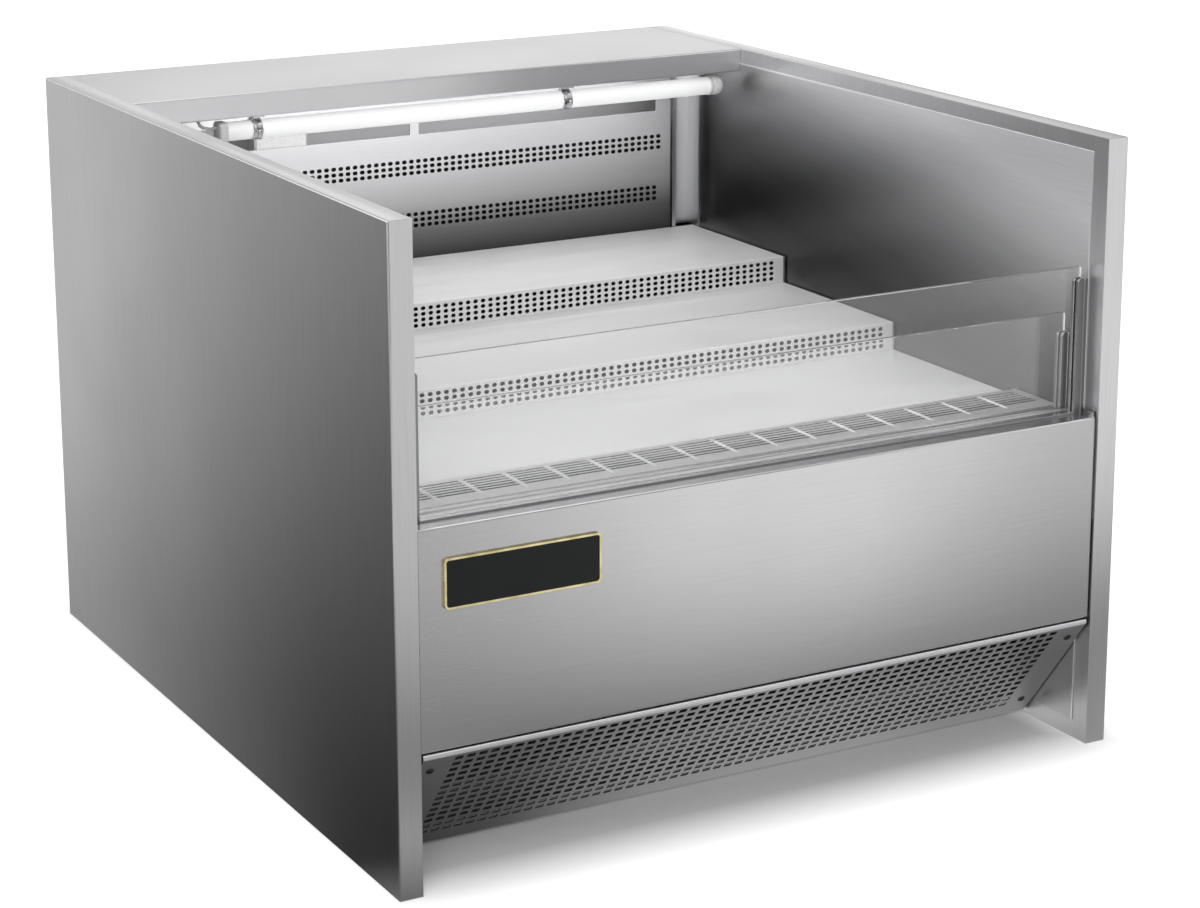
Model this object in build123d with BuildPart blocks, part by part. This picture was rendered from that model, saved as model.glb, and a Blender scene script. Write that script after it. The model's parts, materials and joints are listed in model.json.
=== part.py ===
from build123d import *
import math
import os

# Open multideck display fridge, half height, with stepped shelves. Millimetres.
# Origin: middle of the footprint on the floor. +Z is up and -Y faces the shopper.

# Driving dimensions of the cabinet
width = 1000
depth = 1110
height = 785
sheet = 1.5  # stainless sheet of panels, decks and liners
panel = 30  # insulated side panel
bend = 2.0  # outer radius of a fold that shows
fold_relief = 0.6  # foam is eased where it sits inside such a fold

half_width = width / 2
half_depth = depth / 2
panel_face = half_width - panel  # inner face of a side panel
liner_face = panel_face - sheet  # inner face of the liner on that panel
front_y = -551  # face of the front panel, behind the name plate

# What shows of a side panel's return flange round the liner, and how far the liner laps over it
flange_front = 28
flange_top = 20
flange_rear = 20
flange_bottom = 24
lap = 6

# Canopy and rear wall
canopy_y = 290
canopy_z = 752
rear_wall_y = 505
rear_cover_z = 300
canopy_rear_z = 740

# Steps: level of each top and where its front edge stands
deck_z = 424
middle_z = 462
top_z = 500
deck_front_y = -384
middle_front_y = -114
top_front_y = 160
duct_y = 416
shelf_half = 465  # half length of decks and grilles
shelf_gap = 0.5  # between two shelves that lift out
step_rows = 4
step_row_pitch = 7.79
step_row_top = 7.5
step_hole_height = 5.2
step_slots = 4
step_slot_pitch = 225
step_web = 4.6

# Return air grille and the ledge in front of it
ledge_z = 433
grille_front_y = -475
grille_rear_y = -386
grille_rows = 6
grille_row_pitch = 8.95
grille_first_row_y = -400.3
grille_slot = 4.3
grille_groups = 16
grille_group_pitch = 57
grille_bar = 6
ledge_joint_y = -518.5
ledge_rear_y = -478

# Duct panel
duct_half = 427
duct_return = 14  # depth of the panel's folded ends
duct_bottom_z = 470
duct_rows = (642, 633.6, 625.3, 564.5, 556, 547.6)
duct_hole_height = 5.7
duct_slots = 4
duct_slot_pitch = 203
window_inner = 7
window_outer = 400
window_bottom = 681
window_top = 716

# Tub and base
tub_bottom_z = 300
tub_floor_z = 340
pan_z = 42
rail = 30
rail_wall = 2
rail_z = 12
rail_front_y = -400
rail_rear_y = 550

# Kick grille: a sloped plate below the front panel
kick_half = 466
kick_top_y = -552
kick_top_z = 163
kick_foot_y = -430
kick_foot_z = 5
kick_lip_z = 168
kick_rows = 14
kick_row_pitch = 12.46
kick_first_row = 9.5
kick_slot_height = 7
kick_slots = 8
kick_slot_pitch = 106
kick_web = 4.8

# Sight glass strips at the ledge
glass = 6
glass_half = 461
tall_glass_y = -519
tall_glass_z = 620
tall_post_z = 606
short_glass_y = -488
short_glass_z = 556
short_post_z = 531
post_width = 15
post_depth = 16

# Lamp
lamp_y = 306
lamp_z = 732.5
lamp_radius = 13
lamp_left = -347
lamp_right = 446
lamp_clip_x = (-292, 184)
lamp_cap_left = 12  # length of the square cap
lamp_cap_right = 24  # length of the round cap

# Fans
evap_fan_x = 200
evap_fan_z = 398
fan_plate_y = 120
condenser_fan_x = 255
condenser_fan_z = 165
condenser_y = -290

# Light brackets, straps and motor arms
strap = 2

os.makedirs("parts", exist_ok=True)


def save(piece, name):
    """Label a finished piece and write it as its own file."""
    piece.part.label = name
    export_step(piece.part, f"parts/{name}.step")


def fold(plane, points, inside, radius=0.0):
    """Section of a folded sheet: the points are its outer face, inside is where it is thick."""
    with BuildSketch(plane) as section:
        with BuildLine():
            FilletPolyline(*points, radius=radius)
            offset(amount=sheet, side=inside, kind=Kind.INTERSECTION)
        make_face()
    return section.sketch


def bar_on(plane, x0, x1, y0, y1):
    """Rectangle between two pairs of limits in a plane's own axes."""
    with BuildSketch(plane) as section:
        with Locations(((x0 + x1) / 2, (y0 + y1) / 2)):
            Rectangle(x1 - x0, y1 - y0)
    return section.sketch


def block(x0, x1, y0, y1, z0, z1):
    """Plain prism between three pairs of limits."""
    with BuildPart() as prism:
        extrude(bar_on(Plane.XY.offset(z0), x0, x1, y0, y1), amount=z1 - z0)
    return prism.part


def mirrored(piece):
    """The left-hand twin of a right-hand piece."""
    with BuildPart() as twin:
        mirror(piece.part, about=Plane.YZ)
    return twin


def save_pair(piece, name):
    """Write a right-hand piece and its mirror image."""
    save(piece, f"{name}_right")
    save(mirrored(piece), f"{name}_left")


# ---------------------------------------------------------------- side walls
liner_front = -half_depth + flange_front
liner_rear = half_depth - flange_rear
liner_bottom = flange_bottom
liner_top = height - flange_top

with BuildPart() as side_panel:
    with BuildSketch(Plane.YZ.offset(panel_face)):
        Rectangle(depth, height, align=(Align.CENTER, Align.MIN))
    extrude(amount=panel)
    outer_face = side_panel.faces().sort_by(Axis.X)[-1]
    fillet(outer_face.edges(), radius=bend)
    cavity = bar_on(
        Plane.YZ.offset(panel_face + sheet),
        -half_depth + sheet, half_depth - sheet, sheet, height - sheet,
    )
    extrude(cavity, amount=panel - 2 * sheet, mode=Mode.SUBTRACT)
    mouth = bar_on(
        Plane.YZ.offset(panel_face),
        liner_front + lap, liner_rear - lap, liner_bottom + lap, liner_top - lap,
    )
    extrude(mouth, amount=sheet, mode=Mode.SUBTRACT)
save_pair(side_panel, "side_panel")

with BuildPart() as side_core:
    extrude(cavity, amount=panel - 2 * sheet)
    extrude(mouth, amount=sheet)
save_pair(side_core, "side_core")

with BuildPart() as side_liner:
    extrude(
        bar_on(Plane.YZ.offset(liner_face), liner_front, liner_rear, liner_bottom, liner_top),
        amount=sheet,
    )
save_pair(side_liner, "side_liner")

# ---------------------------------------------------------------- canopy and rear wall
core_rear = half_depth - sheet
core_front = rear_wall_y + sheet
canopy_core_z = canopy_z + sheet

with BuildPart() as top_deck:
    canopy_fold = (
        (half_depth, canopy_rear_z),
        (half_depth, height),
        (canopy_y, height),
        (canopy_y, canopy_z),
        (core_front, canopy_z),
    )
    extrude(fold(Plane.YZ.offset(-panel_face), canopy_fold, Side.LEFT, bend), amount=2 * panel_face)
    for side in (-1, 1):
        x_limits = sorted((side * liner_face, side * (panel_face + 1)))
        add(
            block(*x_limits, canopy_y - 1, liner_rear, canopy_z - 1, liner_top),
            mode=Mode.SUBTRACT,
        )
save(top_deck, "top_deck")

with BuildPart() as rear_core:
    with BuildSketch(Plane.YZ.offset(-liner_face)):
        with BuildLine():
            Polyline(
                (core_front, rear_cover_z + sheet),
                (core_rear, rear_cover_z + sheet),
                (core_rear, height - sheet),
                (canopy_y + sheet, height - sheet),
                (canopy_y + sheet, canopy_core_z),
                (core_front, canopy_core_z),
                close=True,
            )
        make_face()
    extrude(amount=2 * liner_face)
    long_edges = rear_core.edges().filter_by(Axis.X)
    chamfer(long_edges.group_by(Axis.Z)[-1], length=fold_relief)
    chamfer(rear_core.edges().filter_by(Axis.X).group_by(Axis.Y)[0].sort_by(Axis.Z)[0], fold_relief)
save(rear_core, "rear_core")

with BuildPart() as rear_panel:
    rear_fold = (
        (core_front, rear_cover_z),
        (half_depth, rear_cover_z),
        (half_depth, canopy_rear_z),
    )
    extrude(fold(Plane.YZ.offset(-liner_face), rear_fold, Side.LEFT), amount=2 * liner_face)
save(rear_panel, "rear_panel")

with BuildPart() as rear_liner:
    extrude(
        bar_on(Plane.XY.offset(tub_floor_z), -liner_face, liner_face, rear_wall_y, core_front),
        amount=canopy_z - tub_floor_z,
    )
save(rear_liner, "rear_liner")

# ---------------------------------------------------------------- rear service panel and gland
service_y = 540
service_bottom = pan_z + sheet
louvre_rows = 6
louvre_pitch = 22
louvre_length = 170
louvre_height = 7
louvre_column_pitch = 260
louvre_middle = (-80, 180)
gland_x = 380
gland_z = 100
gland_flange = 6
gland_length = 13
gland_bore = 4.5

with BuildPart() as rear_service_panel:
    extrude(
        bar_on(Plane.XY.offset(service_bottom), -liner_face, liner_face, service_y - sheet, service_y),
        amount=rear_cover_z - service_bottom,
    )
    with BuildSketch(Plane.XZ.offset(-service_y)):
        with Locations(louvre_middle):
            with GridLocations(louvre_column_pitch, louvre_pitch, 2, louvre_rows):
                Rectangle(louvre_length, louvre_height)
    extrude(amount=2 * sheet, mode=Mode.SUBTRACT)
save(rear_service_panel, "rear_service_panel")

with BuildPart() as inlet_gland:
    with BuildSketch(Plane.XZ.offset(-service_y - gland_flange)):
        with Locations((gland_x, gland_z)):
            RegularPolygon(radius=13, side_count=6)
    extrude(amount=gland_flange)
    with BuildSketch(Plane.XZ.offset(-service_y - gland_length)):
        with Locations((gland_x, gland_z)):
            RegularPolygon(radius=9.5, side_count=10)
    extrude(amount=gland_length - gland_flange)
    with BuildSketch(Plane.XZ.offset(-service_y - gland_length)):
        with Locations((gland_x, gland_z)):
            RegularPolygon(radius=gland_bore, side_count=10)
    extrude(amount=gland_length, mode=Mode.SUBTRACT)
save(inlet_gland, "inlet_gland")

# ---------------------------------------------------------------- duct panel and corner posts
with BuildPart() as duct_panel:
    duct_fold = (
        (-duct_half, duct_y + duct_return),
        (-duct_half, duct_y),
        (duct_half, duct_y),
        (duct_half, duct_y + duct_return),
    )
    extrude(
        fold(Plane.XY.offset(duct_bottom_z), duct_fold, Side.LEFT, bend),
        amount=canopy_z - duct_bottom_z,
    )
    with BuildSketch(Plane.XZ.offset(-duct_y - 2 * sheet)):
        window_middle = (window_inner + window_outer) / 2
        window_centre_z = (window_bottom + window_top) / 2
        with Locations((-window_middle, window_centre_z), (window_middle, window_centre_z)):
            Rectangle(window_outer - window_inner, window_top - window_bottom)
        for row in duct_rows:
            with Locations((0, row)):
                with GridLocations(duct_slot_pitch, 1, duct_slots, 1):
                    Rectangle(duct_slot_pitch - step_web, duct_hole_height)
    extrude(amount=4 * sheet, mode=Mode.SUBTRACT)
save(duct_panel, "duct_panel")

post_front = 402
post_rear = 436
post_inner = 431
post_nose = 418
post_lip = 6

with BuildPart() as corner_post:
    post_fold = (
        (liner_face, post_front),
        (liner_face, post_rear),
        (post_inner, post_rear),
        (post_inner, post_nose),
        (post_inner + post_lip, post_nose),
    )
    extrude(fold(Plane.XY.offset(top_z), post_fold, Side.RIGHT), amount=canopy_z - top_z)
save_pair(corner_post, "corner_post")

# ---------------------------------------------------------------- lamp
driver_left = -246
driver_right = -166
driver_rear = 452
driver_bottom = 679
driver_height = 20

with BuildPart() as lamp_driver:
    extrude(
        bar_on(
            Plane.XY.offset(driver_bottom), driver_left, driver_right, duct_y + sheet, driver_rear
        ),
        amount=driver_height,
    )
    chamfer(lamp_driver.edges().filter_by(Axis.Z), length=3)
save(lamp_driver, "lamp_driver")

with BuildPart() as lamp_tube:
    with BuildSketch(Plane.YZ.offset(lamp_left + lamp_cap_left)):
        with Locations((lamp_y, lamp_z)):
            Circle(lamp_radius)
    extrude(amount=lamp_right - lamp_cap_right - lamp_left - lamp_cap_left)
save(lamp_tube, "lamp_tube")

cap_radius = 14

with BuildPart() as lamp_end_caps:
    with BuildSketch(Plane.YZ.offset(lamp_left)):
        with Locations((lamp_y, lamp_z)):
            RectangleRounded(2 * cap_radius, 2 * cap_radius, 6)
    extrude(amount=lamp_cap_left)
    with BuildSketch(Plane.YZ.offset(lamp_right - lamp_cap_right)):
        with Locations((lamp_y, lamp_z)):
            Circle(cap_radius)
    extrude(amount=lamp_cap_right)
save(lamp_end_caps, "lamp_end_caps")

clip_width = 14
clip_gap = 0.3
clip_stem = 8
clip_foot = 30
clip_mouth = 16

with BuildPart() as lamp_clips:
    for clip_x in lamp_clip_x:
        with BuildSketch(Plane.YZ.offset(clip_x - clip_width / 2)):
            with Locations((lamp_y, lamp_z)):
                RegularPolygon(lamp_radius + clip_gap + sheet, 8, major_radius=False, rotation=22.5)
            with Locations((lamp_y, (lamp_z + canopy_z) / 2)):
                Rectangle(clip_stem, canopy_z - lamp_z)
            with Locations((lamp_y, canopy_z - sheet / 2)):
                Rectangle(clip_foot, sheet)
            with Locations((lamp_y, lamp_z)):
                RegularPolygon(
                    lamp_radius + clip_gap, 8,
                    major_radius=False, rotation=22.5, mode=Mode.SUBTRACT,
                )
            with Locations((lamp_y, lamp_z - lamp_radius)):
                Rectangle(clip_mouth, 10, mode=Mode.SUBTRACT)
        extrude(amount=clip_width)
save(lamp_clips, "lamp_clips")

lead_x = -373
lead_z = lamp_z + 6
lead_radius = 2.5

with BuildPart() as lamp_lead:
    with BuildLine():
        lead_route = FilletPolyline(
            (lamp_left, lamp_y, lead_z),
            (lead_x, lamp_y, lead_z),
            (lead_x, lamp_y, canopy_z),
            radius=10,
        )
    with BuildSketch(Plane(lead_route @ 0, z_dir=lead_route % 0)):
        RegularPolygon(radius=lead_radius, side_count=4)
    sweep()
save(lamp_lead, "lamp_lead")

# ---------------------------------------------------------------- tub under the shelves
drain_x = -45
drain_y = 250
drain_radius = 11
drain_wall = 1.6
drain_foot_z = 110
tub_front_y = front_y + sheet
tub_wall_y = ledge_rear_y - sheet

with BuildPart() as tub_core:
    with BuildSketch(Plane.YZ.offset(-liner_face)):
        with BuildLine():
            Polyline(
                (tub_front_y, tub_bottom_z),
                (core_front, tub_bottom_z),
                (core_front, tub_floor_z),
                (tub_wall_y, tub_floor_z),
                (tub_wall_y, ledge_z - sheet),
                (tub_front_y, ledge_z - sheet),
                close=True,
            )
        make_face()
    extrude(amount=2 * liner_face)
    chamfer(tub_core.edges().filter_by(Axis.X).group_by(Axis.Z)[-1], length=fold_relief)
    with BuildSketch(Plane.XY.offset(tub_bottom_z)):
        with Locations((drain_x, drain_y)):
            RegularPolygon(radius=drain_radius + 0.5, side_count=12)
    extrude(amount=tub_floor_z - tub_bottom_z, mode=Mode.SUBTRACT)
save(tub_core, "tub_core")

with BuildPart() as tub_liner:
    extrude(
        bar_on(Plane.XY.offset(tub_floor_z), -liner_face, liner_face, tub_wall_y, rear_wall_y),
        amount=sheet,
    )
    with BuildSketch(Plane.XY.offset(drain_foot_z)):
        with Locations((drain_x, drain_y)):
            RegularPolygon(radius=drain_radius, side_count=12)
    extrude(amount=tub_floor_z - drain_foot_z)
    with BuildSketch(Plane.XY.offset(drain_foot_z)):
        with Locations((drain_x, drain_y)):
            RegularPolygon(radius=drain_radius - drain_wall, side_count=12)
    extrude(amount=tub_floor_z + sheet - drain_foot_z, mode=Mode.SUBTRACT)
save(tub_liner, "tub_liner")

# ---------------------------------------------------------------- shelf brackets
bracket_reach = 12
bracket_face = liner_face - sheet
grille_skirt = 15
bracket_foot_z = 395
grille_rest_z = ledge_z - grille_skirt
deck_rest_z = deck_z - sheet
middle_rest_z = middle_z - sheet
top_rest_z = top_z - sheet

with BuildPart() as shelf_bracket:
    with BuildSketch(Plane.YZ.offset(bracket_face)):
        with BuildLine():
            Polyline(
                (grille_front_y, bracket_foot_z),
                (grille_front_y, grille_rest_z),
                (deck_front_y - 1, grille_rest_z),
                (deck_front_y - 1, deck_rest_z),
                (middle_front_y + 2, deck_rest_z),
                (middle_front_y + 2, middle_rest_z),
                (top_front_y + 2, middle_rest_z),
                (top_front_y + 2, top_rest_z),
                (duct_y - 1, top_rest_z),
                (duct_y - 1, middle_rest_z),
                (0, bracket_foot_z),
                close=True,
            )
        make_face()
    extrude(amount=sheet)
    rests = (
        (grille_front_y, grille_rear_y, grille_rest_z),
        (deck_front_y + 3, middle_front_y - 2, deck_rest_z),
        (middle_front_y + 3, top_front_y - 2, middle_rest_z),
        (top_front_y + 3, duct_y - 2, top_rest_z),
    )
    for rest_front, rest_rear, rest_z in rests:
        rest = bar_on(
            Plane.XY.offset(rest_z - sheet),
            bracket_face - bracket_reach, bracket_face, rest_front, rest_rear,
        )
        extrude(rest, amount=sheet)
save_pair(shelf_bracket, "shelf_bracket")

# ---------------------------------------------------------------- shelves that lift out
with BuildPart() as bottom_deck:
    deck_fold = (
        (deck_front_y, deck_z - grille_skirt),
        (deck_front_y, deck_z),
        (middle_front_y - shelf_gap, deck_z),
    )
    extrude(fold(Plane.YZ.offset(-shelf_half), deck_fold, Side.RIGHT, bend), amount=2 * shelf_half)
save(bottom_deck, "bottom_deck")


def step(front, rear, top, drop):
    """A step: tread and riser folded from one sheet, with air slots in the riser."""
    with BuildPart() as tread:
        step_fold = ((front, top - drop), (front, top), (rear, top))
        extrude(
            fold(Plane.YZ.offset(-shelf_half), step_fold, Side.RIGHT, bend),
            amount=2 * shelf_half,
        )
        row_middle = top - step_row_top - (step_rows - 1) / 2 * step_row_pitch
        with BuildSketch(Plane.XZ.offset(-front - 2 * sheet)):
            with Locations((0, row_middle)):
                with GridLocations(step_slot_pitch, step_row_pitch, step_slots, step_rows):
                    Rectangle(step_slot_pitch - step_web, step_hole_height)
        extrude(amount=4 * sheet, mode=Mode.SUBTRACT)
    return tread


riser_drop = middle_z - deck_z + 4
step_middle = step(middle_front_y, top_front_y - shelf_gap, middle_z, riser_drop)
save(step_middle, "step_middle")

step_top = step(top_front_y, duct_y - shelf_gap, top_z, riser_drop)
save(step_top, "step_top")

with BuildPart() as return_grille:
    grille_fold = (
        (grille_front_y, grille_rest_z),
        (grille_front_y, ledge_z),
        (grille_rear_y, ledge_z),
        (grille_rear_y, grille_rest_z),
    )
    extrude(fold(Plane.YZ.offset(-shelf_half), grille_fold, Side.RIGHT, bend), amount=2 * shelf_half)
    grille_middle = grille_first_row_y - (grille_rows - 1) / 2 * grille_row_pitch
    with BuildSketch(Plane.XY.offset(ledge_z)):
        with Locations((0, grille_middle)):
            with GridLocations(grille_group_pitch, grille_row_pitch, grille_groups, grille_rows):
                Rectangle(grille_group_pitch - grille_bar, grille_slot)
    extrude(amount=-2 * sheet, mode=Mode.SUBTRACT)
save(return_grille, "return_grille")

# ---------------------------------------------------------------- front panel and ledge
front_half = 468
front_bottom_z = 170
upstand_rear_y = -528
upstand_top_z = 439

with BuildPart() as front_panel:
    front_fold = (
        (front_y + 22, front_bottom_z),
        (front_y, front_bottom_z),
        (front_y, ledge_z),
        (ledge_joint_y, ledge_z),
    )
    extrude(fold(Plane.YZ.offset(-front_half), front_fold, Side.RIGHT, bend), amount=2 * front_half)
    for side in (-1, 1):
        x_limits = sorted((side * (front_half - sheet), side * front_half))
        add(block(*x_limits, front_y + bend, upstand_rear_y, ledge_z - sheet, upstand_top_z))
save(front_panel, "front_panel")

with BuildPart() as front_ledge:
    ledge_fold = (
        (ledge_joint_y + shelf_gap, ledge_z),
        (ledge_rear_y, ledge_z),
        (ledge_rear_y, tub_floor_z + sheet),
    )
    extrude(fold(Plane.YZ.offset(-front_half), ledge_fold, Side.RIGHT, bend), amount=2 * front_half)
save(front_ledge, "front_ledge")

# ---------------------------------------------------------------- glass strips, rails and posts
post_inner_x = liner_face - post_width
rail_height = 2.5
post_clip = 5  # clipped top corners of a post

with BuildPart() as glass_rails:
    for glass_y in (tall_glass_y, short_glass_y):
        rail_section = bar_on(
            Plane.YZ.offset(-post_inner_x),
            glass_y - post_depth / 2, glass_y + post_depth / 2, ledge_z, ledge_z + rail_height,
        )
        extrude(rail_section, amount=2 * post_inner_x)
        rail_groove = bar_on(
            Plane.YZ.offset(-post_inner_x),
            glass_y - post_depth / 2 + sheet, glass_y + post_depth / 2 - sheet,
            ledge_z + sheet, ledge_z + rail_height,
        )
        extrude(rail_groove, amount=2 * post_inner_x, mode=Mode.SUBTRACT)
save(glass_rails, "glass_rails")


def glass_posts(glass_y, top):
    """Two upright channels that hold the ends of one glass strip, with clipped top corners."""
    with BuildPart() as posts:
        channel = (
            (post_inner_x, glass_y - post_depth / 2),
            (liner_face, glass_y - post_depth / 2),
            (liner_face, glass_y + post_depth / 2),
            (post_inner_x, glass_y + post_depth / 2),
        )
        extrude(fold(Plane.XY.offset(ledge_z), channel, Side.LEFT), amount=top - ledge_z)
        tips = posts.faces().sort_by(Axis.Z)[-1].edges().sort_by(Axis.X)[:2]
        chamfer(tips.filter_by(Axis.Y), length=post_clip)
        mirror(posts.part, about=Plane.YZ)
    return posts


save(glass_posts(tall_glass_y, tall_post_z), "glass_posts_tall")
save(glass_posts(short_glass_y, short_post_z), "glass_posts_short")


def glass_strip(glass_y, top):
    """A glass strip standing in its rail, with its long upper edges eased."""
    with BuildPart() as strip:
        section = bar_on(
            Plane.YZ.offset(-glass_half),
            glass_y - glass / 2, glass_y + glass / 2, ledge_z + sheet, top,
        )
        extrude(section, amount=2 * glass_half)
        chamfer(strip.edges().filter_by(Axis.X).group_by(Axis.Z)[-1], length=0.6)
    return strip


save(glass_strip(tall_glass_y, tall_glass_z), "glass_front")
save(glass_strip(short_glass_y, short_glass_z), "glass_rear")

# ---------------------------------------------------------------- name plate
plate_x = -338
plate_z = 366.25
plate_width = 200
plate_height = 60.5
plate_corner = 6
plate_rim = 3
plate_relief = 4
plate_recess = 1

with BuildPart() as name_plate_rim:
    with BuildSketch(Plane.XZ.offset(-front_y)):
        with Locations((plate_x, plate_z)):
            RectangleRounded(plate_width, plate_height, plate_corner)
            RectangleRounded(
                plate_width - 2 * plate_rim,
                plate_height - 2 * plate_rim,
                plate_corner - plate_rim,
                mode=Mode.SUBTRACT,
            )
    extrude(amount=plate_relief)
save(name_plate_rim, "name_plate_rim")

with BuildPart() as name_plate:
    with BuildSketch(Plane.XZ.offset(-front_y)):
        with Locations((plate_x, plate_z)):
            RectangleRounded(
                plate_width - 2 * plate_rim,
                plate_height - 2 * plate_rim,
                plate_corner - plate_rim,
            )
    extrude(amount=plate_relief - plate_recess)
save(name_plate, "name_plate")

# ---------------------------------------------------------------- kick grille
kick_bend = 1.6
kick_lip = 22  # depth of the fold under the front panel
kick_return = 25  # depth of the fold at the foot
kick_screws_upper = (450, -27.5)
kick_screws_lower = (447, -168)
kick_bracket_x = 434
kick_bracket_run = (-186, -12)
kick_slope = math.hypot(kick_foot_y - kick_top_y, kick_top_z - kick_foot_z)
kick_normal = (0, (kick_foot_z - kick_top_z) / kick_slope, (kick_top_y - kick_foot_y) / kick_slope)
kick_plane = Plane(origin=(0, kick_top_y, kick_top_z), x_dir=(1, 0, 0), z_dir=kick_normal)

with BuildPart() as kick_grille:
    kick_fold = (
        (kick_top_y + kick_lip, kick_lip_z),
        (kick_top_y, kick_lip_z),
        (kick_top_y, kick_top_z),
        (kick_foot_y, kick_foot_z),
        (kick_foot_y + kick_return, kick_foot_z),
    )
    kick_section = fold(Plane.YZ.offset(-kick_half), kick_fold, Side.LEFT, kick_bend)
    extrude(kick_section, amount=2 * kick_half)
    kick_middle = kick_first_row + (kick_rows - 1) / 2 * kick_row_pitch
    with BuildSketch(kick_plane.offset(sheet)):
        with Locations((0, -kick_middle)):
            with GridLocations(kick_slot_pitch, kick_row_pitch, kick_slots, kick_rows):
                Rectangle(kick_slot_pitch - kick_web, kick_slot_height)
    extrude(amount=-4 * sheet, mode=Mode.SUBTRACT)
save(kick_grille, "kick_grille")

with BuildPart() as kick_screws:
    with BuildSketch(kick_plane):
        for screw_x, screw_s in (kick_screws_upper, kick_screws_lower):
            with Locations((screw_x, screw_s), (-screw_x, screw_s)):
                RegularPolygon(radius=4.5, side_count=10)
    extrude(amount=1.8)
save(kick_screws, "kick_screws")

with BuildPart() as kick_brackets:
    behind = kick_plane.offset(-sheet)
    extrude(bar_on(behind, kick_bracket_x, liner_face, *kick_bracket_run), amount=-strap)
    extrude(bar_on(behind, liner_face - strap, liner_face, *kick_bracket_run), amount=-24)
    mirror(kick_brackets.part, about=Plane.YZ)
save(kick_brackets, "kick_brackets")

# ---------------------------------------------------------------- base frame, pan and feet
foot_x = 448
foot_y = (-360, 510)
foot_stud = 5
foot_pad = 17
foot_fit = 0.05
foot_pad_height = 8
foot_stud_height = 26
frame_half = liner_face
pan_lip = 18


def frame_ring(inset, z0, z1):
    """Closed ring of the base frame between two levels, drawn in by an inset from both sides."""
    with BuildPart() as ring:
        with BuildSketch(Plane.XY.offset(z0)):
            with Locations((0, (rail_front_y + rail_rear_y) / 2)):
                frame_depth = rail_rear_y - rail_front_y
                Rectangle(2 * frame_half - 2 * inset, frame_depth - 2 * inset)
                Rectangle(
                    2 * frame_half - 2 * rail + 2 * inset,
                    frame_depth - 2 * rail + 2 * inset,
                    mode=Mode.SUBTRACT,
                )
        extrude(amount=z1 - z0)
    return ring.part


with BuildPart() as base_frame:
    add(frame_ring(0, rail_z, rail_z + rail))
    add(frame_ring(rail_wall, rail_z + rail_wall, rail_z + rail - rail_wall), mode=Mode.SUBTRACT)
    with BuildSketch(Plane.XY.offset(rail_z)):
        for y in foot_y:
            with Locations((foot_x, y), (-foot_x, y)):
                RegularPolygon(radius=foot_stud + foot_fit, side_count=12)
    extrude(amount=rail_wall, mode=Mode.SUBTRACT)
save(base_frame, "base_frame")

with BuildPart() as base_pan:
    pan_fold = ((rail_front_y, pan_z + pan_lip), (rail_front_y, pan_z), (rail_rear_y, pan_z))
    extrude(fold(Plane.YZ.offset(-liner_face), pan_fold, Side.LEFT), amount=2 * liner_face)
save(base_pan, "base_pan")


def levelling_foot(x, y):
    """Hexagonal pad, turned with a spanner, on a stud that screws into the base frame."""
    with BuildPart() as foot:
        with BuildSketch(Plane(origin=(x, y, 0))):
            RegularPolygon(radius=foot_pad, side_count=6)
        extrude(amount=foot_pad_height)
        chamfer(foot.faces().sort_by(Axis.Z)[-1].edges(), length=3)
        with BuildSketch(Plane(origin=(x, y, foot_pad_height))):
            RegularPolygon(radius=foot_stud, side_count=12)
        extrude(amount=foot_stud_height)
    return foot


for y, end in zip(foot_y, ("front", "rear")):
    for x, side in ((foot_x, "right"), (-foot_x, "left")):
        save(levelling_foot(x, y), f"levelling_foot_{end}_{side}")

# ---------------------------------------------------------------- evaporator
evap_half = 310
evap_front = 200
evap_rear = 330
evap_bottom = 352
evap_top = 448
fin_pitch = 90
fin_gap = 14
fin_count = 6
fin_row_pitch = 80
fin_row_depth = 60
end_plate_lap = 6

with BuildPart() as evaporator:
    with BuildSketch(Plane.XY.offset(evap_bottom)):
        with Locations((0, (evap_front + evap_rear) / 2)):
            Rectangle(2 * evap_half, evap_rear - evap_front)
            with GridLocations(fin_pitch, fin_row_pitch, fin_count, 2):
                Rectangle(fin_gap, fin_row_depth, mode=Mode.SUBTRACT)
    extrude(amount=evap_top - evap_bottom)
    for side in (-1, 1):
        x_limits = sorted((side * evap_half, side * (evap_half + sheet)))
        y_limits = (evap_front - end_plate_lap, evap_rear + end_plate_lap)
        add(block(*x_limits, *y_limits, tub_floor_z + sheet, evap_top + end_plate_lap - 1))
save(evaporator, "evaporator")

# ---------------------------------------------------------------- fans
shaft_radius = 4
shaft_fit = 0.05
blade_thickness = 1.8
blade_pitch = 28
blades = 5
hub_sides = 16
fan_mouth = 50

with BuildPart() as fan_plate:
    extrude(
        bar_on(
            Plane.XY.offset(tub_floor_z + sheet),
            -bracket_face, bracket_face, fan_plate_y, fan_plate_y + sheet,
        ),
        amount=middle_rest_z - 2 * sheet - tub_floor_z,
    )
    with BuildSketch(Plane.XZ.offset(-fan_plate_y - 2 * sheet)):
        with Locations((evap_fan_x, evap_fan_z), (-evap_fan_x, evap_fan_z)):
            RegularPolygon(radius=fan_mouth, side_count=24)
    extrude(amount=4 * sheet, mode=Mode.SUBTRACT)
save(fan_plate, "fan_plate")


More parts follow.
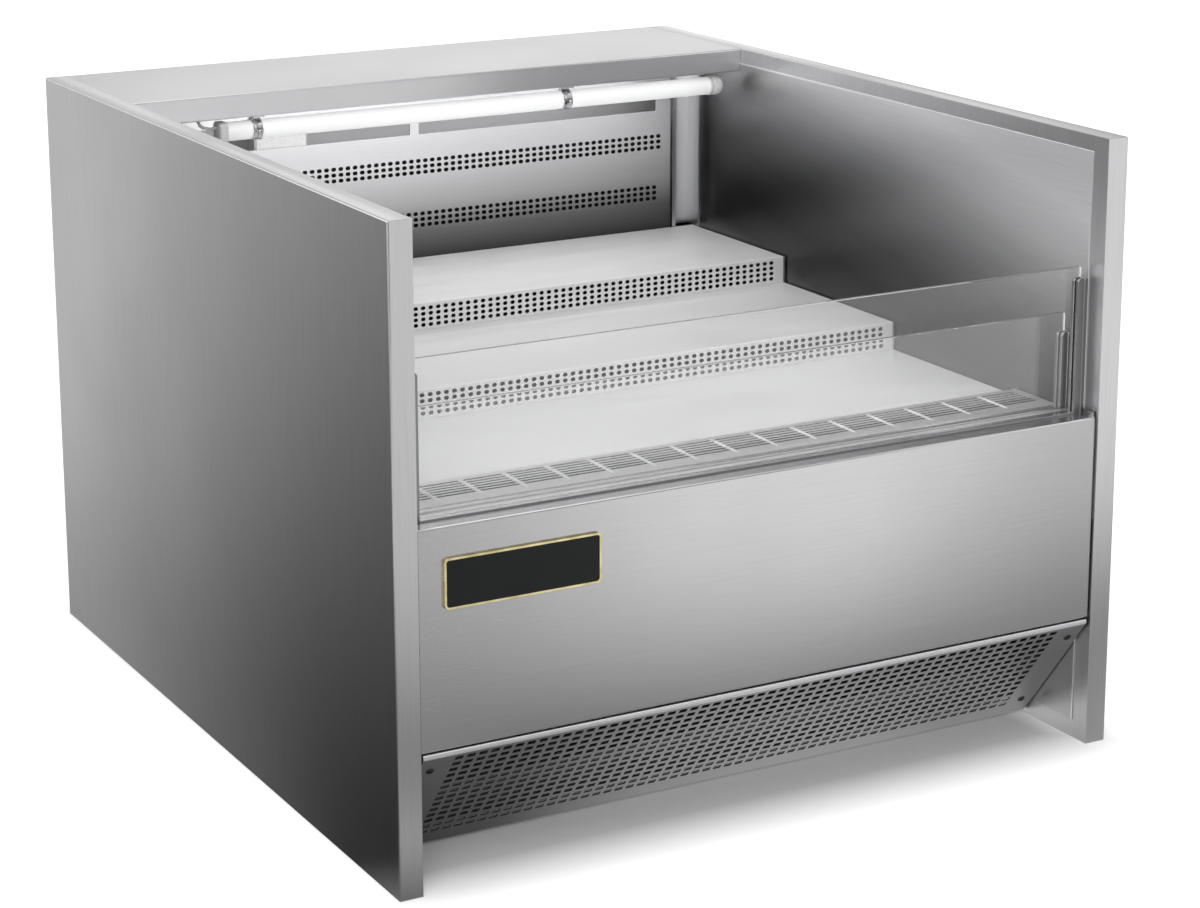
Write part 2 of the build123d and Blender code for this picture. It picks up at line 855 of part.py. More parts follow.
def rotor(hub, tip, length, chord, shaft_length):
    """Fan wheel about +Z with five pitched blades, and the shaft that carries it, upwards."""
    with BuildPart() as blade:
        blade_plane = Plane(origin=(0, 0, 0), x_dir=(1, 0, 0), z_dir=(0, 0, 1))
        with BuildSketch(blade_plane.rotated((blade_pitch, 0, 0))):
            with BuildLine():
                Polyline(
                    (hub * 0.7, -chord * 0.3),
                    (tip * 0.8, -chord * 0.5),
                    (tip, -chord * 0.3),
                    (tip, chord * 0.35),
                    (tip * 0.86, chord * 0.5),
                    (hub * 0.7, chord * 0.25),
                    close=True,
                )
            make_face()
        extrude(amount=blade_thickness / 2, both=True)
    with BuildPart() as wheel:
        with BuildSketch():
            RegularPolygon(radius=hub, side_count=hub_sides)
        extrude(amount=length / 2, both=True)
        with BuildSketch():
            Circle(shaft_radius)
        extrude(amount=length / 2 + shaft_length)
        with PolarLocations(0, blades):
            add(blade.part)
    return wheel.part


def placed(piece, x, y, z, axis_y):
    """A piece made about +Z, set at a place with its axis along +Y or -Y."""
    with BuildPart() as copy:
        with Locations(Plane(origin=(x, y, z), x_dir=(1, 0, 0), z_dir=(0, axis_y, 0))):
            add(piece)
    return copy


evap_fan_y = 101
evap_hub = 17
evap_hub_length = 20
evap_motor_y = 86
evap_motor_length = 34
evap_strap_half = 62
evap_strap_rise = 6

evap_rotor = rotor(evap_hub, 46, evap_hub_length, 34, 18)
for x, side in ((evap_fan_x, "right"), (-evap_fan_x, "left")):
    save(placed(evap_rotor, x, evap_fan_y, evap_fan_z, -1), f"evap_fan_{side}")


def motor_bore(x, z, y, length):
    """The bore that the fan's shaft turns in, from a motor's face."""
    with BuildPart() as bore:
        with BuildSketch(Plane.XZ.offset(-y)):
            with Locations((x, z)):
                Circle(shaft_radius + shaft_fit)
        extrude(amount=length)
    return bore.part


with BuildPart() as evap_motors:
    for x in (evap_fan_x, -evap_fan_x):
        with BuildSketch(Plane.XZ.offset(-evap_motor_y)):
            with Locations((x, evap_fan_z)):
                RegularPolygon(radius=23, side_count=8, rotation=22.5)
        extrude(amount=evap_motor_length)
        add(motor_bore(x, evap_fan_z, evap_motor_y, 20), mode=Mode.SUBTRACT)
        strap_y = evap_motor_y - evap_motor_length - strap
        z_limits = (evap_fan_z - evap_strap_rise, evap_fan_z + evap_strap_rise)
        add(block(x - evap_strap_half, x + evap_strap_half, strap_y, strap_y + strap, *z_limits))
        for leg_x in (x - evap_strap_half, x + evap_strap_half - strap):
            add(block(leg_x, leg_x + strap, strap_y, fan_plate_y, *z_limits))
save(evap_motors, "evap_motors")

# ---------------------------------------------------------------- compressor
compressor_x = -250
compressor_y = 250
floor_z = pan_z + sheet
grommet_pitch = 150
grommet_height = 15
plate_side = 180
plate_thickness = 2.5
shell_radius = 75
shell_height = 175

with BuildPart() as compressor_grommets:
    with BuildSketch(Plane.XY.offset(floor_z)):
        with Locations((compressor_x, compressor_y)):
            with GridLocations(grommet_pitch, grommet_pitch, 2, 2):
                RegularPolygon(radius=12, side_count=10)
    extrude(amount=grommet_height)
save(compressor_grommets, "compressor_grommets")

with BuildPart() as compressor:
    with BuildSketch(Plane.XY.offset(floor_z + grommet_height)):
        with Locations((compressor_x, compressor_y)):
            RectangleRounded(plate_side, plate_side, 14)
    extrude(amount=plate_thickness)
    shell_foot = floor_z + grommet_height + plate_thickness
    with BuildSketch(Plane.XY.offset(shell_foot)):
        with Locations((compressor_x, compressor_y)):
            RegularPolygon(radius=shell_radius, side_count=24)
    extrude(amount=shell_height)
    shell_top = compressor.faces().sort_by(Axis.Z)[-1]
    chamfer(shell_top.edges(), length=26)
    seam = compressor.edges().filter_by_position(Axis.Z, floor_z + 140, floor_z + 175)
    chamfer(seam.filter_by(GeomType.LINE).group_by(Axis.Z)[0], length=10)
save(compressor, "compressor")

# ---------------------------------------------------------------- condenser and its fan
condenser_left = 95
condenser_right = 415
condenser_depth = 60
condenser_top = 280
passage_pitch = 44
passages = 7
shroud_left = 62
shroud_right = 450
shroud_top = 290
shroud_mouth = 108

with BuildPart() as condenser:
    with BuildSketch(Plane.XY.offset(floor_z)):
        with Locations(((condenser_left + condenser_right) / 2, condenser_y - condenser_depth / 2)):
            Rectangle(condenser_right - condenser_left, condenser_depth)
            with GridLocations(passage_pitch, passage_pitch, passages, 2):
                Rectangle(12, 30, mode=Mode.SUBTRACT)
    extrude(amount=condenser_top - floor_z)
save(condenser, "condenser")

with BuildPart() as condenser_shroud:
    extrude(
        bar_on(
            Plane.XY.offset(floor_z), shroud_left, shroud_right, condenser_y, condenser_y + sheet
        ),
        amount=shroud_top - floor_z,
    )
    with BuildSketch(Plane.XZ.offset(-condenser_y - 2 * sheet)):
        with Locations((condenser_fan_x, condenser_fan_z)):
            RegularPolygon(radius=shroud_mouth, side_count=24)
    extrude(amount=4 * sheet, mode=Mode.SUBTRACT)
save(condenser_shroud, "condenser_shroud")

condenser_fan_y = -262
condenser_motor_y = -238
condenser_motor_length = 50
strap_half = 10

condenser_rotor = rotor(28, 100, 30, 52, 27)
save(
    placed(condenser_rotor, condenser_fan_x, condenser_fan_y, condenser_fan_z, 1),
    "condenser_fan",
)

with BuildPart() as condenser_motor:
    motor_rear = condenser_motor_y + condenser_motor_length
    with BuildSketch(Plane.XZ.offset(-motor_rear)):
        with Locations((condenser_fan_x, condenser_fan_z)):
            RegularPolygon(radius=40, side_count=8, rotation=22.5)
    extrude(amount=condenser_motor_length)
    add(motor_bore(condenser_fan_x, condenser_fan_z, condenser_motor_y + 25, 25), mode=Mode.SUBTRACT)
    strap_x = (condenser_fan_x - strap_half, condenser_fan_x + strap_half)
    strap_front = condenser_y + sheet
    add(block(*strap_x, motor_rear, motor_rear + strap, floor_z, shroud_top))
    add(block(*strap_x, strap_front, motor_rear, floor_z, floor_z + strap))
    add(block(*strap_x, strap_front, motor_rear, shroud_top - strap, shroud_top))
save(condenser_motor, "condenser_motor")

# ---------------------------------------------------------------- refrigerant lines
pipe_radius = 4.5
discharge_z = 150
suction_z = 110
liquid_z = 90
liquid_x = -60
coil_y = condenser_y - condenser_depth / 2
drier_radius = 13
drier_length = 110


def pipe(points, radius):
    """A line bent from straight runs and tangent arcs, of hexagonal section."""
    with BuildPart() as line:
        with BuildLine():
            route = FilletPolyline(*points, radius=radius)
        with BuildSketch(Plane(route @ 0, z_dir=route % 0)):
            RegularPolygon(radius=pipe_radius, side_count=6)
        sweep()
    return line.part


with BuildPart() as refrigerant_pipes:
    discharge = (
        (compressor_x + shell_radius, compressor_y, discharge_z),
        (-130, compressor_y, discharge_z),
        (-130, coil_y, discharge_z),
        (condenser_left, coil_y, discharge_z),
    )
    suction = (
        (-400, compressor_y, tub_bottom_z),
        (-400, compressor_y, suction_z),
        (compressor_x - shell_radius, compressor_y, suction_z),
    )
    liquid = (
        (condenser_left, coil_y, liquid_z),
        (liquid_x, coil_y, liquid_z),
        (liquid_x, 60, liquid_z),
        (liquid_x, 60, tub_bottom_z),
    )
    add(pipe(discharge, 22))
    add(pipe(suction, 24))
    add(pipe(liquid, 24))
    with BuildSketch(Plane.XZ.offset(40)):
        with Locations((liquid_x, liquid_z)):
            RegularPolygon(radius=drier_radius, side_count=12)
    extrude(amount=drier_length)
save(refrigerant_pipes, "refrigerant_pipes")

# ---------------------------------------------------------------- condensate tray and control box
tray_size = (210, 200)
tray_height = 28
box_left = 250
box_right = 420
box_front = 430
box_bottom = 60
box_height = 140

with BuildPart() as condensate_tray:
    with BuildSketch(Plane.XY.offset(floor_z)):
        with Locations((drain_x, drain_y)):
            Rectangle(*tray_size)
    extrude(amount=tray_height)
    tray_top = condensate_tray.faces().sort_by(Axis.Z)[-1]
    offset(amount=-sheet, openings=tray_top)
save(condensate_tray, "condensate_tray")

with BuildPart() as control_box:
    extrude(
        bar_on(Plane.XY.offset(box_bottom), box_left, box_right, box_front, service_y - sheet),
        amount=box_height,
    )
    fillet(control_box.edges().filter_by(Axis.Z).group_by(Axis.Y)[0], radius=6)
save(control_box, "control_box")
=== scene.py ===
import json
import math

import bmesh
import bpy
from mathutils import Matrix, Vector

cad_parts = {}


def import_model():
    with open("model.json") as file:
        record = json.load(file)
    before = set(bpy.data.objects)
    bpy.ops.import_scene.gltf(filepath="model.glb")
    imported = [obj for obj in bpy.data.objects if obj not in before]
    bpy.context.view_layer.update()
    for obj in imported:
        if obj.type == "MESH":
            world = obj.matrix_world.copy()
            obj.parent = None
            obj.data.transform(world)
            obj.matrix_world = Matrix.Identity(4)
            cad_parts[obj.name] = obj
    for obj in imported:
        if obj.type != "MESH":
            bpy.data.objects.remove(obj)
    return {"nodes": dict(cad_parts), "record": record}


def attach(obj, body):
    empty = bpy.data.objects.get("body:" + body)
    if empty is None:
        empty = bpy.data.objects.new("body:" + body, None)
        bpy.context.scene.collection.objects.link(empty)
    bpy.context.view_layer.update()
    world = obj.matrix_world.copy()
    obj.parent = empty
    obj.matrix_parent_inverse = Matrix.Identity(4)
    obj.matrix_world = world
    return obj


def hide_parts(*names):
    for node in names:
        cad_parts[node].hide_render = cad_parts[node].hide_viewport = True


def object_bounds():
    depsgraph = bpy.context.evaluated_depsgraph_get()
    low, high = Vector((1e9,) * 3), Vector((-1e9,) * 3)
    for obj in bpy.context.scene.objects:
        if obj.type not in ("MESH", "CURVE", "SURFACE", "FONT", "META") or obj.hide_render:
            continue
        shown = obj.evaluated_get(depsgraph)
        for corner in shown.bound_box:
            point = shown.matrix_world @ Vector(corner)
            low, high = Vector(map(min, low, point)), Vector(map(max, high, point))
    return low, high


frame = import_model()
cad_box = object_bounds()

MM = 0.001

# ------------------------------------------------------------------- sizes
# Millimetres, as in the solids: X to the cabinet's right, Y to its rear, Z up from the floor.

HALF_WIDTH = 500
SHEET = 1.5  # stainless sheet
BEND = 2.0  # outer radius of a fold
FRONT_Y = -551  # face of the front panel
SHELF_HALF = 465  # half length of the lift-out sheets

# Steps: front edge, rear edge and level of the tread, and the riser with its rows of holes
MIDDLE_STEP = (-114, 159.5, 462)
TOP_STEP = (160, 415.5, 500)
RISER = 42
RISER_HOLE, RISER_HOLE_CORNER = (6.8, 5.2), 2.5
RISER_COLUMNS, RISER_COLUMN_PITCH = 79, 11.4
RISER_ROWS, RISER_ROW_PITCH = 4, 7.79
RISER_TOP_ROW = 7.5  # from the tread's level down to the top row

# Duct panel: its face, its ends folded to the rear, and two bands of three rows of holes
DUCT_HALF, DUCT_Y, DUCT_END_Y = 427, 416, 430
DUCT_BOTTOM, DUCT_TOP = 470, 752
DUCT_HOLE, DUCT_HOLE_CORNER = (5.7, 7.5), 2.7
DUCT_BAND_ROWS, DUCT_ROW_PITCH = 3, 8.4
DUCT_BANDS = ((642.0, 74, 11.1), (564.5, 73, 11.06))  # top row, holes in a row and their pitch
WINDOW, WINDOW_CORNER = (35, 393), 1.2  # height and width, and the radius of its corners
WINDOW_Z, WINDOW_LEFT_EDGES = 698.5, (-400, 7)
WINDOW_EDGE = 0.2  # plain sheet that the window's cell adds to it

# Kick plate: a lip under the front panel, the slope with its slots, and a foot
KICK_HALF, KICK_BEND = 466, 1.6
KICK_LIP_Z, KICK_LIP_Y = 168, -530
KICK_TOP, KICK_FOOT = (-552, 163), (-430, 5)
KICK_REAR_Y = -405
KICK_SLOT, KICK_SLOT_CORNER = (10.7, 7.0), 1.1
KICK_COLUMNS, KICK_COLUMN_PITCH = 55, 15.5
KICK_ROWS, KICK_ROW_PITCH = 14, 12.46
KICK_FIRST_ROW = 9.5  # down the slope from its top
KICK_SCREWS = ((450, 27.5), (-450, 27.5), (447, 168), (-447, 168))  # across, and down the slope

# Return air grille: groups of slots with a raised bead between two groups
LEDGE_Z = 433
GRILLE_FRONT_Y, GRILLE_REAR_Y, GRILLE_SKIRT_Z = -475, -386, 418
GRILLE_SLOT, GRILLE_SLOT_CORNER = (51, 4.3), 2.05
GRILLE_GROUPS, GRILLE_GROUP_PITCH = 16, 57
GRILLE_ROWS, GRILLE_ROW_PITCH = 6, 8.95
GRILLE_REAR_ROW_Y = -400.3
BEAD_REAR_Y, BEAD_LENGTH = -396.5, 62
BEAD_HALF, BEAD_RISE = 2.1, 1.7
BEAD_SINK = 0.4  # how far the bead's flat underside lies in the grille

# Lamp: a tube with a square cap on its left end and a round one on its right
LAMP_Y, LAMP_Z = 306, 732.5
TUBE_RADIUS, TUBE_LEFT, TUBE_RIGHT = 13, -336, 423
CAP_RADIUS, CAP_CORNER = 14, 6
CAP_END, CAP_ROUNDING = 446, 9
CLIPS_X = (-292, 184)

# Drawn channels of the glass strips
POST_X, POST_WIDTH = 453.5, 15  # inner face, and its distance to the outer face
POST_SLOT_HALF, POST_SLOT_DEPTH = 3.2, 11.5
TALL_POSTS = (-519, 606)  # middle of the slot and top
SHORT_POSTS = (-488, 531)

# ------------------------------------------------------------------ camera

VIEW_ANGLES = (-28.0898, 13.5518, -0.3707)  # azimuth, elevation and roll in degrees
VIEW_PLACE = (-1.800744, -3.336932, 1.432354)


def camera():
    """The photograph's viewpoint, solved from the cabinet's corners."""
    azimuth, elevation, roll = (math.radians(angle) for angle in VIEW_ANGLES)
    back = Vector(
        (
            math.sin(azimuth) * math.cos(elevation),
            -math.cos(azimuth) * math.cos(elevation),
            math.sin(elevation),
        )
    )
    level = Vector((0, 0, 1)).cross(back).normalized()
    upright = back.cross(level)
    right = level * math.cos(roll) + upright * math.sin(roll)
    up = upright * math.cos(roll) - level * math.sin(roll)
    data = bpy.data.cameras.new("camera")
    data.sensor_width = 36
    data.lens = 88.296
    data.shift_x = 0.05
    data.shift_y = -0.125
    data.clip_end = 60
    made = bpy.data.objects.new("camera", data)
    turn = Matrix((right, up, back)).transposed().to_4x4()
    made.matrix_world = Matrix.Translation(VIEW_PLACE) @ turn
    bpy.context.collection.objects.link(made)
    bpy.context.scene.camera = made


camera()
bpy.context.scene.view_settings.view_transform = "Standard"

# ------------------------------------------------------------- node helpers


def grey(level):
    """A neutral grey with a trace of blue."""
    return (level, level, level * 1.005)


def greys(stops, widest=1.0, brightest=1.0):
    """Stops of a ramp from pairs of place and level, each scaled to fit the ramp's 0 to 1."""
    return [(at / widest, grey(level / brightest)) for at, level in stops]


def rgba(value):
    """A colour with its alpha added, or the socket that gives one."""
    return value if isinstance(value, bpy.types.NodeSocket) else (*value, 1)


class Graph:
    """Node tree of a material or a world, with short calls for the nodes used here."""

    def __init__(self, owner, output="OutputMaterial"):
        owner.use_nodes = True
        self.owner = owner
        self.tree = owner.node_tree
        self.tree.nodes.clear()
        self.output = self.node(output)

    def node(self, kind, inputs=(), **settings):
        made = self.tree.nodes.new("ShaderNode" + kind)
        for key, value in settings.items():
            setattr(made, key, value)
        for key, value in dict(inputs).items():
            if isinstance(value, bpy.types.NodeSocket):
                self.tree.links.new(value, made.inputs[key])
            else:
                made.inputs[key].default_value = value
        return made

    def place(self):
        """The point on the object, in its own metres."""
        return self.node("TexCoord").outputs["Object"]

    def parts(self):
        """The X, Y and Z of a point on the object."""
        return self.node("SeparateXYZ", {"Vector": self.place()}).outputs

    def noise(self, scale, detail=2.0, stretch=(1, 1, 1), roughness=0.5):
        mapped = self.node("Mapping", {"Vector": self.place(), "Scale": stretch})
        made = self.node(
            "TexNoise",
            {
                "Vector": mapped.outputs[0],
                "Scale": scale,
                "Detail": detail,
                "Roughness": roughness,
            },
        )
        return made.outputs[0]

    def ramp(self, factor, stops):
        made = self.node("ValToRGB", {"Fac": factor})
        ramp = made.color_ramp
        while len(ramp.elements) < len(stops):
            ramp.elements.new(0.5)
        for element, (at, colour) in zip(ramp.elements, stops):
            element.position = at
            element.color = rgba(colour)
        return made.outputs[0]

    def spread(self, value, low, high, start=0.0, end=1.0):
        """A value from start to end, laid out and held between low and high."""
        made = self.node(
            "MapRange",
            {"Value": value, "From Min": start, "From Max": end, "To Min": low, "To Max": high},
        )
        return made.outputs[0]

    def mix(self, factor, one, two, blend="MIX"):
        colours = {0: factor, 6: rgba(one), 7: rgba(two)}
        return self.node("Mix", colours, data_type="RGBA", blend_type=blend).outputs[2]

    def math(self, operation, *values):
        return self.node("Math", enumerate(values), operation=operation).outputs[0]

    def vector(self, operation, one, two):
        """The one value that a product or distance of two vectors gives."""
        made = self.node("VectorMath", {0: one, 1: two}, operation=operation)
        return made.outputs["Value"]

    def bump(self, height, distance, strength):
        inputs = {"Height": height, "Distance": distance, "Strength": strength}
        return self.node("Bump", inputs).outputs[0]

    def show(self, shader):
        """Wire a shader to the output."""
        self.tree.links.new(shader.outputs[0], self.output.inputs[0])
        return self.owner

    def surface(self, **values):
        inputs = {key.replace("_", " "): value for key, value in values.items()}
        return self.show(self.node("BsdfPrincipled", inputs))


def material(name):
    return Graph(bpy.data.materials.new(name))


# ---------------------------------------------------------------- materials

ALONG = {"X": 0, "Y": 1, "Z": 2}


def brushed(
    name, tone, grain, roughness=0.3, anisotropy=0.5, streak=0.04, relief=1.0, painted_highlights=(), metallic=1.0
):
    """Ground stainless sheet, with its grain along one axis of the object. The tone is one grey,
    or a direction and stops: the sheet then darkens softly along it, as painted shade and light.
    The edges it is given are painted highlights, bright lines: an axis, and where each starts and
    ends on it."""
    g = material(name)
    fine, band = [1600.0] * 3, [330.0] * 3
    fine[ALONG[grain]], band[ALONG[grain]] = 9.0, 7.0
    lines = g.noise(1.0, 2.0, fine)
    bands = g.noise(1.0, 3.0, band, 0.65)
    cloud = g.noise(3.2, 3.0)
    mixed = g.math("ADD", g.math("MULTIPLY", lines, 0.4), g.math("MULTIPLY", bands, 0.6))
    # A direction and stops paint light and shade along the sheet
    if isinstance(tone, tuple):
        heading, stops = tone
        base = g.ramp(g.vector("DOT_PRODUCT", g.place(), heading), greys(stops))
    else:
        base = grey(tone)
    # Painted highlights: bright lines laid along the given edges
    for axis, start, end in painted_highlights:
        edge = g.spread(g.parts()[ALONG[axis]], 0.0, 1.0, start, end)
        base = g.mix(edge, base, grey(0.96))
    ground = g.ramp(mixed, greys(((0.3, 1 - streak), (0.5, 0.97), (0.7, 1.0))))
    wiped = g.ramp(cloud, greys(((0.35, 1.0), (0.7, 0.95))))
    rough = g.spread(mixed, roughness - 0.02 * relief, roughness + 0.03 * relief, 0.3, 0.7)
    return g.surface(
        Base_Color=g.mix(1.0, g.mix(1.0, ground, wiped, "MULTIPLY"), base, "MULTIPLY"),
        Metallic=metallic,
        Roughness=g.math("ADD", rough, g.spread(cloud, -0.01, 0.02, 0.3, 0.7)),
        Anisotropic=anisotropy,
        Tangent=g.node("Tangent", direction_type="RADIAL", axis=grain).outputs[0],
        Normal=g.bump(lines, 0.00003 * relief, 0.4),
    )


def satin(name, level, roughness, spots, metallic=1.0):
    """Fine satin sheet with no clear grain, wiped and a little scratched."""
    g = material(name)
    fine = g.noise(900.0, 2.0)
    wipe = g.noise(1.0, 4.0, (7.0, 34.0, 30.0), 0.6)
    scratch = g.noise(1.0, 2.0, (40.0, 900.0, 900.0), 0.7)
    brightest = min(level * (1 + spots / 2), 0.95)
    tone = g.ramp(wipe, greys(((0.3, level * (1 - spots)), (0.6, level), (0.8, brightest))))
    return g.surface(
        Base_Color=g.mix(g.spread(scratch, 0.0, 0.25, 0.62, 0.8), tone, grey(level * 0.8)),
        Metallic=metallic,
        Roughness=g.spread(wipe, roughness - 0.06, roughness + 0.07, 0.3, 0.7),
        Normal=g.bump(g.math("ADD", fine, scratch), 0.00002, 0.4),
    )


def galvanised(name, level):
    """Zinc-coated sheet with its spangle."""
    g = material(name)
    cells = g.node("TexVoronoi", {"Vector": g.place(), "Scale": 90.0})
    tint = g.node("SeparateColor", {"Color": cells.outputs["Color"]}).outputs[0]
    tone = g.ramp(tint, greys(((0.0, level * 0.8), (0.6, level), (1.0, level * 1.18))))
    dull = g.spread(g.noise(6.0, 3.0), 0.0, 0.3, 0.4, 0.7)
    return g.surface(
        Base_Color=g.mix(dull, tone, (0.36, 0.37, 0.37)),
        Metallic=0.9,
        Roughness=g.spread(tint, 0.38, 0.56),
        Normal=g.bump(tint, 0.00003, 0.5),
    )


def painted(name, colour, roughness, grain=260.0, relief=0.00006, metallic=0.0, gloss=0.5):
    """Painted, enamelled or moulded surface with orange peel and faint dust."""
    g = material(name)
    peel = g.noise(grain, 3.0)
    dust = g.noise(9.0, 4.0, roughness=0.65)
    light = tuple(min(c * 1.25 + 0.012, 1.0) for c in colour)
    dark = tuple(c * 0.86 for c in colour)
    tone = g.ramp(peel, ((0.3, dark), (0.6, colour)))
    return g.surface(
        Base_Color=g.mix(g.spread(dust, 0.0, 0.4, 0.45, 0.75), tone, light),
        Metallic=metallic,
        Roughness=g.spread(dust, roughness - 0.06, roughness + 0.1, 0.3, 0.7),
        Specular_IOR_Level=gloss,
        Normal=g.bump(peel, relief, 0.5),
    )


def foam(name):
    """Insulating foam with its cells, yellowed in patches."""
    g = material(name)
    cells = g.node("TexVoronoi", {"Vector": g.place(), "Scale": 420.0}).outputs["Distance"]
    patch = g.noise(14.0, 3.0)
    tone = g.ramp(cells, ((0.0, (0.55, 0.5, 0.36)), (0.5, (0.8, 0.75, 0.6))))
    return g.surface(
        Base_Color=g.mix(g.spread(patch, 0.0, 0.4, 0.4, 0.7), tone, (0.72, 0.64, 0.42)),
        Roughness=g.spread(patch, 0.8, 0.95),
        Normal=g.bump(cells, 0.0006, 0.8),
    )


def metal(name, shades, patch, grain, roughness, relief):
    """Bare coloured metal in patches of three shades. Patch and grain hold what noise takes, and
    without a grain the polish follows the patches."""
    g = material(name)
    patches = g.noise(*patch)
    polish = g.noise(*grain) if grain else patches
    return g.surface(
        Base_Color=g.ramp(patches, shades),
        Metallic=1.0,
        Roughness=g.spread(polish, *roughness),
        Normal=g.bump(polish, relief, 0.4),
    )


def glass(name):
    """Clear glass with a faint film."""
    g = material(name)
    film = g.noise(7.0, 4.0, roughness=0.6)
    return g.surface(
        Base_Color=g.ramp(film, ((0.35, (0.986, 0.988, 0.987)), (0.7, (0.994, 0.995, 0.995)))),
        Roughness=g.spread(film, 0.0, 0.03, 0.3, 0.8),
        Transmission_Weight=1.0,
        IOR=1.5,
        Specular_IOR_Level=0.25,
        Normal=g.bump(film, 0.00002, 0.15),
    )


def lamp_light(name, strength):
    """Opal tube, bright all along and a little duller at its ends."""
    g = material(name)
    middle = (TUBE_LEFT + TUBE_RIGHT) / 2 * MM
    from_middle = g.math("ABSOLUTE", g.math("SUBTRACT", g.parts()[0], middle))
    frost = g.noise(300.0, 2.0)
    tone = g.ramp(frost, ((0.3, (0.96, 0.965, 0.97)), (0.7, (1.0, 1.0, 1.0))))
    return g.surface(
        Base_Color=tone,
        Roughness=g.spread(frost, 0.3, 0.42),
        Emission_Color=tone,
        Emission_Strength=g.spread(from_middle, strength, strength * 0.6, 0.33, 0.38),
    )


# Painted light and shade: sheets that darken along a direction. The stops are metres along it and
# the sheet's grey there.
LINER_PAINTED_SHADING = (
    (0, -0.222, 0.975),
    (
        (0.3, 0.62),
        (0.44, 0.08),
        (0.5, 0.06),
        (0.56, 0.1),
        (0.6, 0.17),
        (0.64, 0.28),
        (0.68, 0.44),
        (0.72, 0.68),
        (0.78, 0.96),
    ),
)
# Painted shade and light on the duct panel: dark towards its bottom, bright towards its top
DUCT_PAINTED_SHADING = ((0, 0, 1), ((0.5, 0.04), (0.54, 0.16), (0.58, 0.5), (0.64, 0.78), (0.68, 0.84)))
# Painted light and shade on the rear liner: bright behind the windows and dark behind the holes
# below them
REAR_PAINTED_SHADING = ((0, 0, 1), ((0.6, 0.03), (0.63, 0.12), (0.65, 0.9)))

# Painted highlights: bright lines on the side liners' front and top edges, and on the kick plate's
# lip
LINER_PAINTED_HIGHLIGHTS = (("Y", -0.5242, -0.5252), ("Z", 0.7622, 0.7632))
KICK_PAINTED_HIGHLIGHTS = (("Z", 0.1612, 0.1622),)

COPPER_PATCH = (22.0, 4.0, (1, 1, 1), 0.6)
COPPER_SHADES = ((0.35, (0.42, 0.2, 0.11)), (0.6, (0.72, 0.38, 0.24)), (0.8, (0.86, 0.52, 0.36)))
GOLD_SHADES = ((0.3, (0.6, 0.5, 0.24)), (0.55, (0.82, 0.72, 0.4)), (0.8, (0.93, 0.86, 0.58)))

MATERIALS = {
    "outer_steel": brushed("outer_steel", 0.66, "Z", streak=0.13),
    # The side liners carry painted light and shade along a direction, and painted highlights on
    # their edges
    "liner_steel": brushed(
        "liner_steel", LINER_PAINTED_SHADING, "Y", 0.29, 0.4, 0.08, relief=0.05, painted_highlights=LINER_PAINTED_HIGHLIGHTS
    ),
    "deck_steel": brushed("deck_steel", 0.74, "X"),
    "front_steel": brushed("front_steel", 0.58, "X", 0.25, 0.35, 0.06, relief=0.3),
    "ledge_steel": satin("ledge_steel", 0.66, 0.32, 0.04, 0.7),
    "shelf_steel": satin("shelf_steel", 0.74, 0.42, 0.04, 0.2),
    "grille_steel": satin("grille_steel", 0.66, 0.32, 0.05, 0.7),
    # Near-black on the cut walls of punched holes: painted shade where the holes look dark
    "cut_edge_painted_shade": painted("cut_edge_painted_shade", (0.05, 0.051, 0.053), 0.5, 900.0, 0.00002, metallic=0.6),
    "foam": foam("foam"),
    "galvanised": galvanised("galvanised", 0.55),
    "chrome": brushed("chrome", 0.62, "Z", 0.16, 0.6, 0.1),
    "clear_glass": glass("clear_glass"),
    "lamp_glass": lamp_light("lamp_glass", 0.33),
    "white_plastic": painted("white_plastic", (0.82, 0.82, 0.81), 0.35, 420.0, 0.00003),
    "lead_sheath": painted("lead_sheath", (0.72, 0.71, 0.68), 0.5, 700.0, 0.00004),
    "black_plastic": painted("black_plastic", (0.035, 0.035, 0.036), 0.5, 900.0),
    "plate_black": painted("plate_black", (0.01, 0.012, 0.012), 0.3, 500.0, 0.00002, gloss=0.2),
    "gold_rim": metal("gold_rim", GOLD_SHADES, (60.0, 3.0), (700.0, 2.0), (0.14, 0.3), 0.00002),
    "kick_grey": brushed("kick_grey", 0.33, "X", 0.36, 0.3, 0.08, painted_highlights=KICK_PAINTED_HIGHLIGHTS),
    "screw_black": painted("screw_black", (0.03, 0.03, 0.032), 0.35, 900.0, metallic=0.5),
    "frame_grey": painted("frame_grey", (0.27, 0.27, 0.28), 0.42),
    "foot_black": painted("foot_black", (0.028, 0.028, 0.03), 0.55, 800.0),
    "fin_aluminium": satin("fin_aluminium", 0.7, 0.4, 0.1),
    "condenser_black": painted("condenser_black", (0.03, 0.03, 0.032), 0.5),
    "motor_black": painted("motor_black", (0.025, 0.025, 0.027), 0.38),
    "grommet_rubber": painted("grommet_rubber", (0.02, 0.02, 0.02), 0.75, 1100.0),
    "copper": metal("copper", COPPER_SHADES, COPPER_PATCH, None, (0.2, 0.42), 0.0001),
    "box_grey": painted("box_grey", (0.5, 0.51, 0.52), 0.5, 500.0, 0.00008),
}

# Nodes with a finish of their own in place of their slot's; the rear liner's holds painted light
# and shade
CORNER_STEEL = brushed("liner_steel_upright", 0.74, "Z", streak=0.03, relief=0.15)
OWN_FINISH_AND_PAINTED_SHADING = {
    "corner_post_left": CORNER_STEEL,
    "corner_post_right": CORNER_STEEL,
    "rear_liner": brushed("liner_steel_level", REAR_PAINTED_SHADING, "X", 0.36, streak=0.05, metallic=0.25),
    "tub_liner": brushed("tub_steel", 0.3, "X", 0.36, 0.4, 0.05),
}
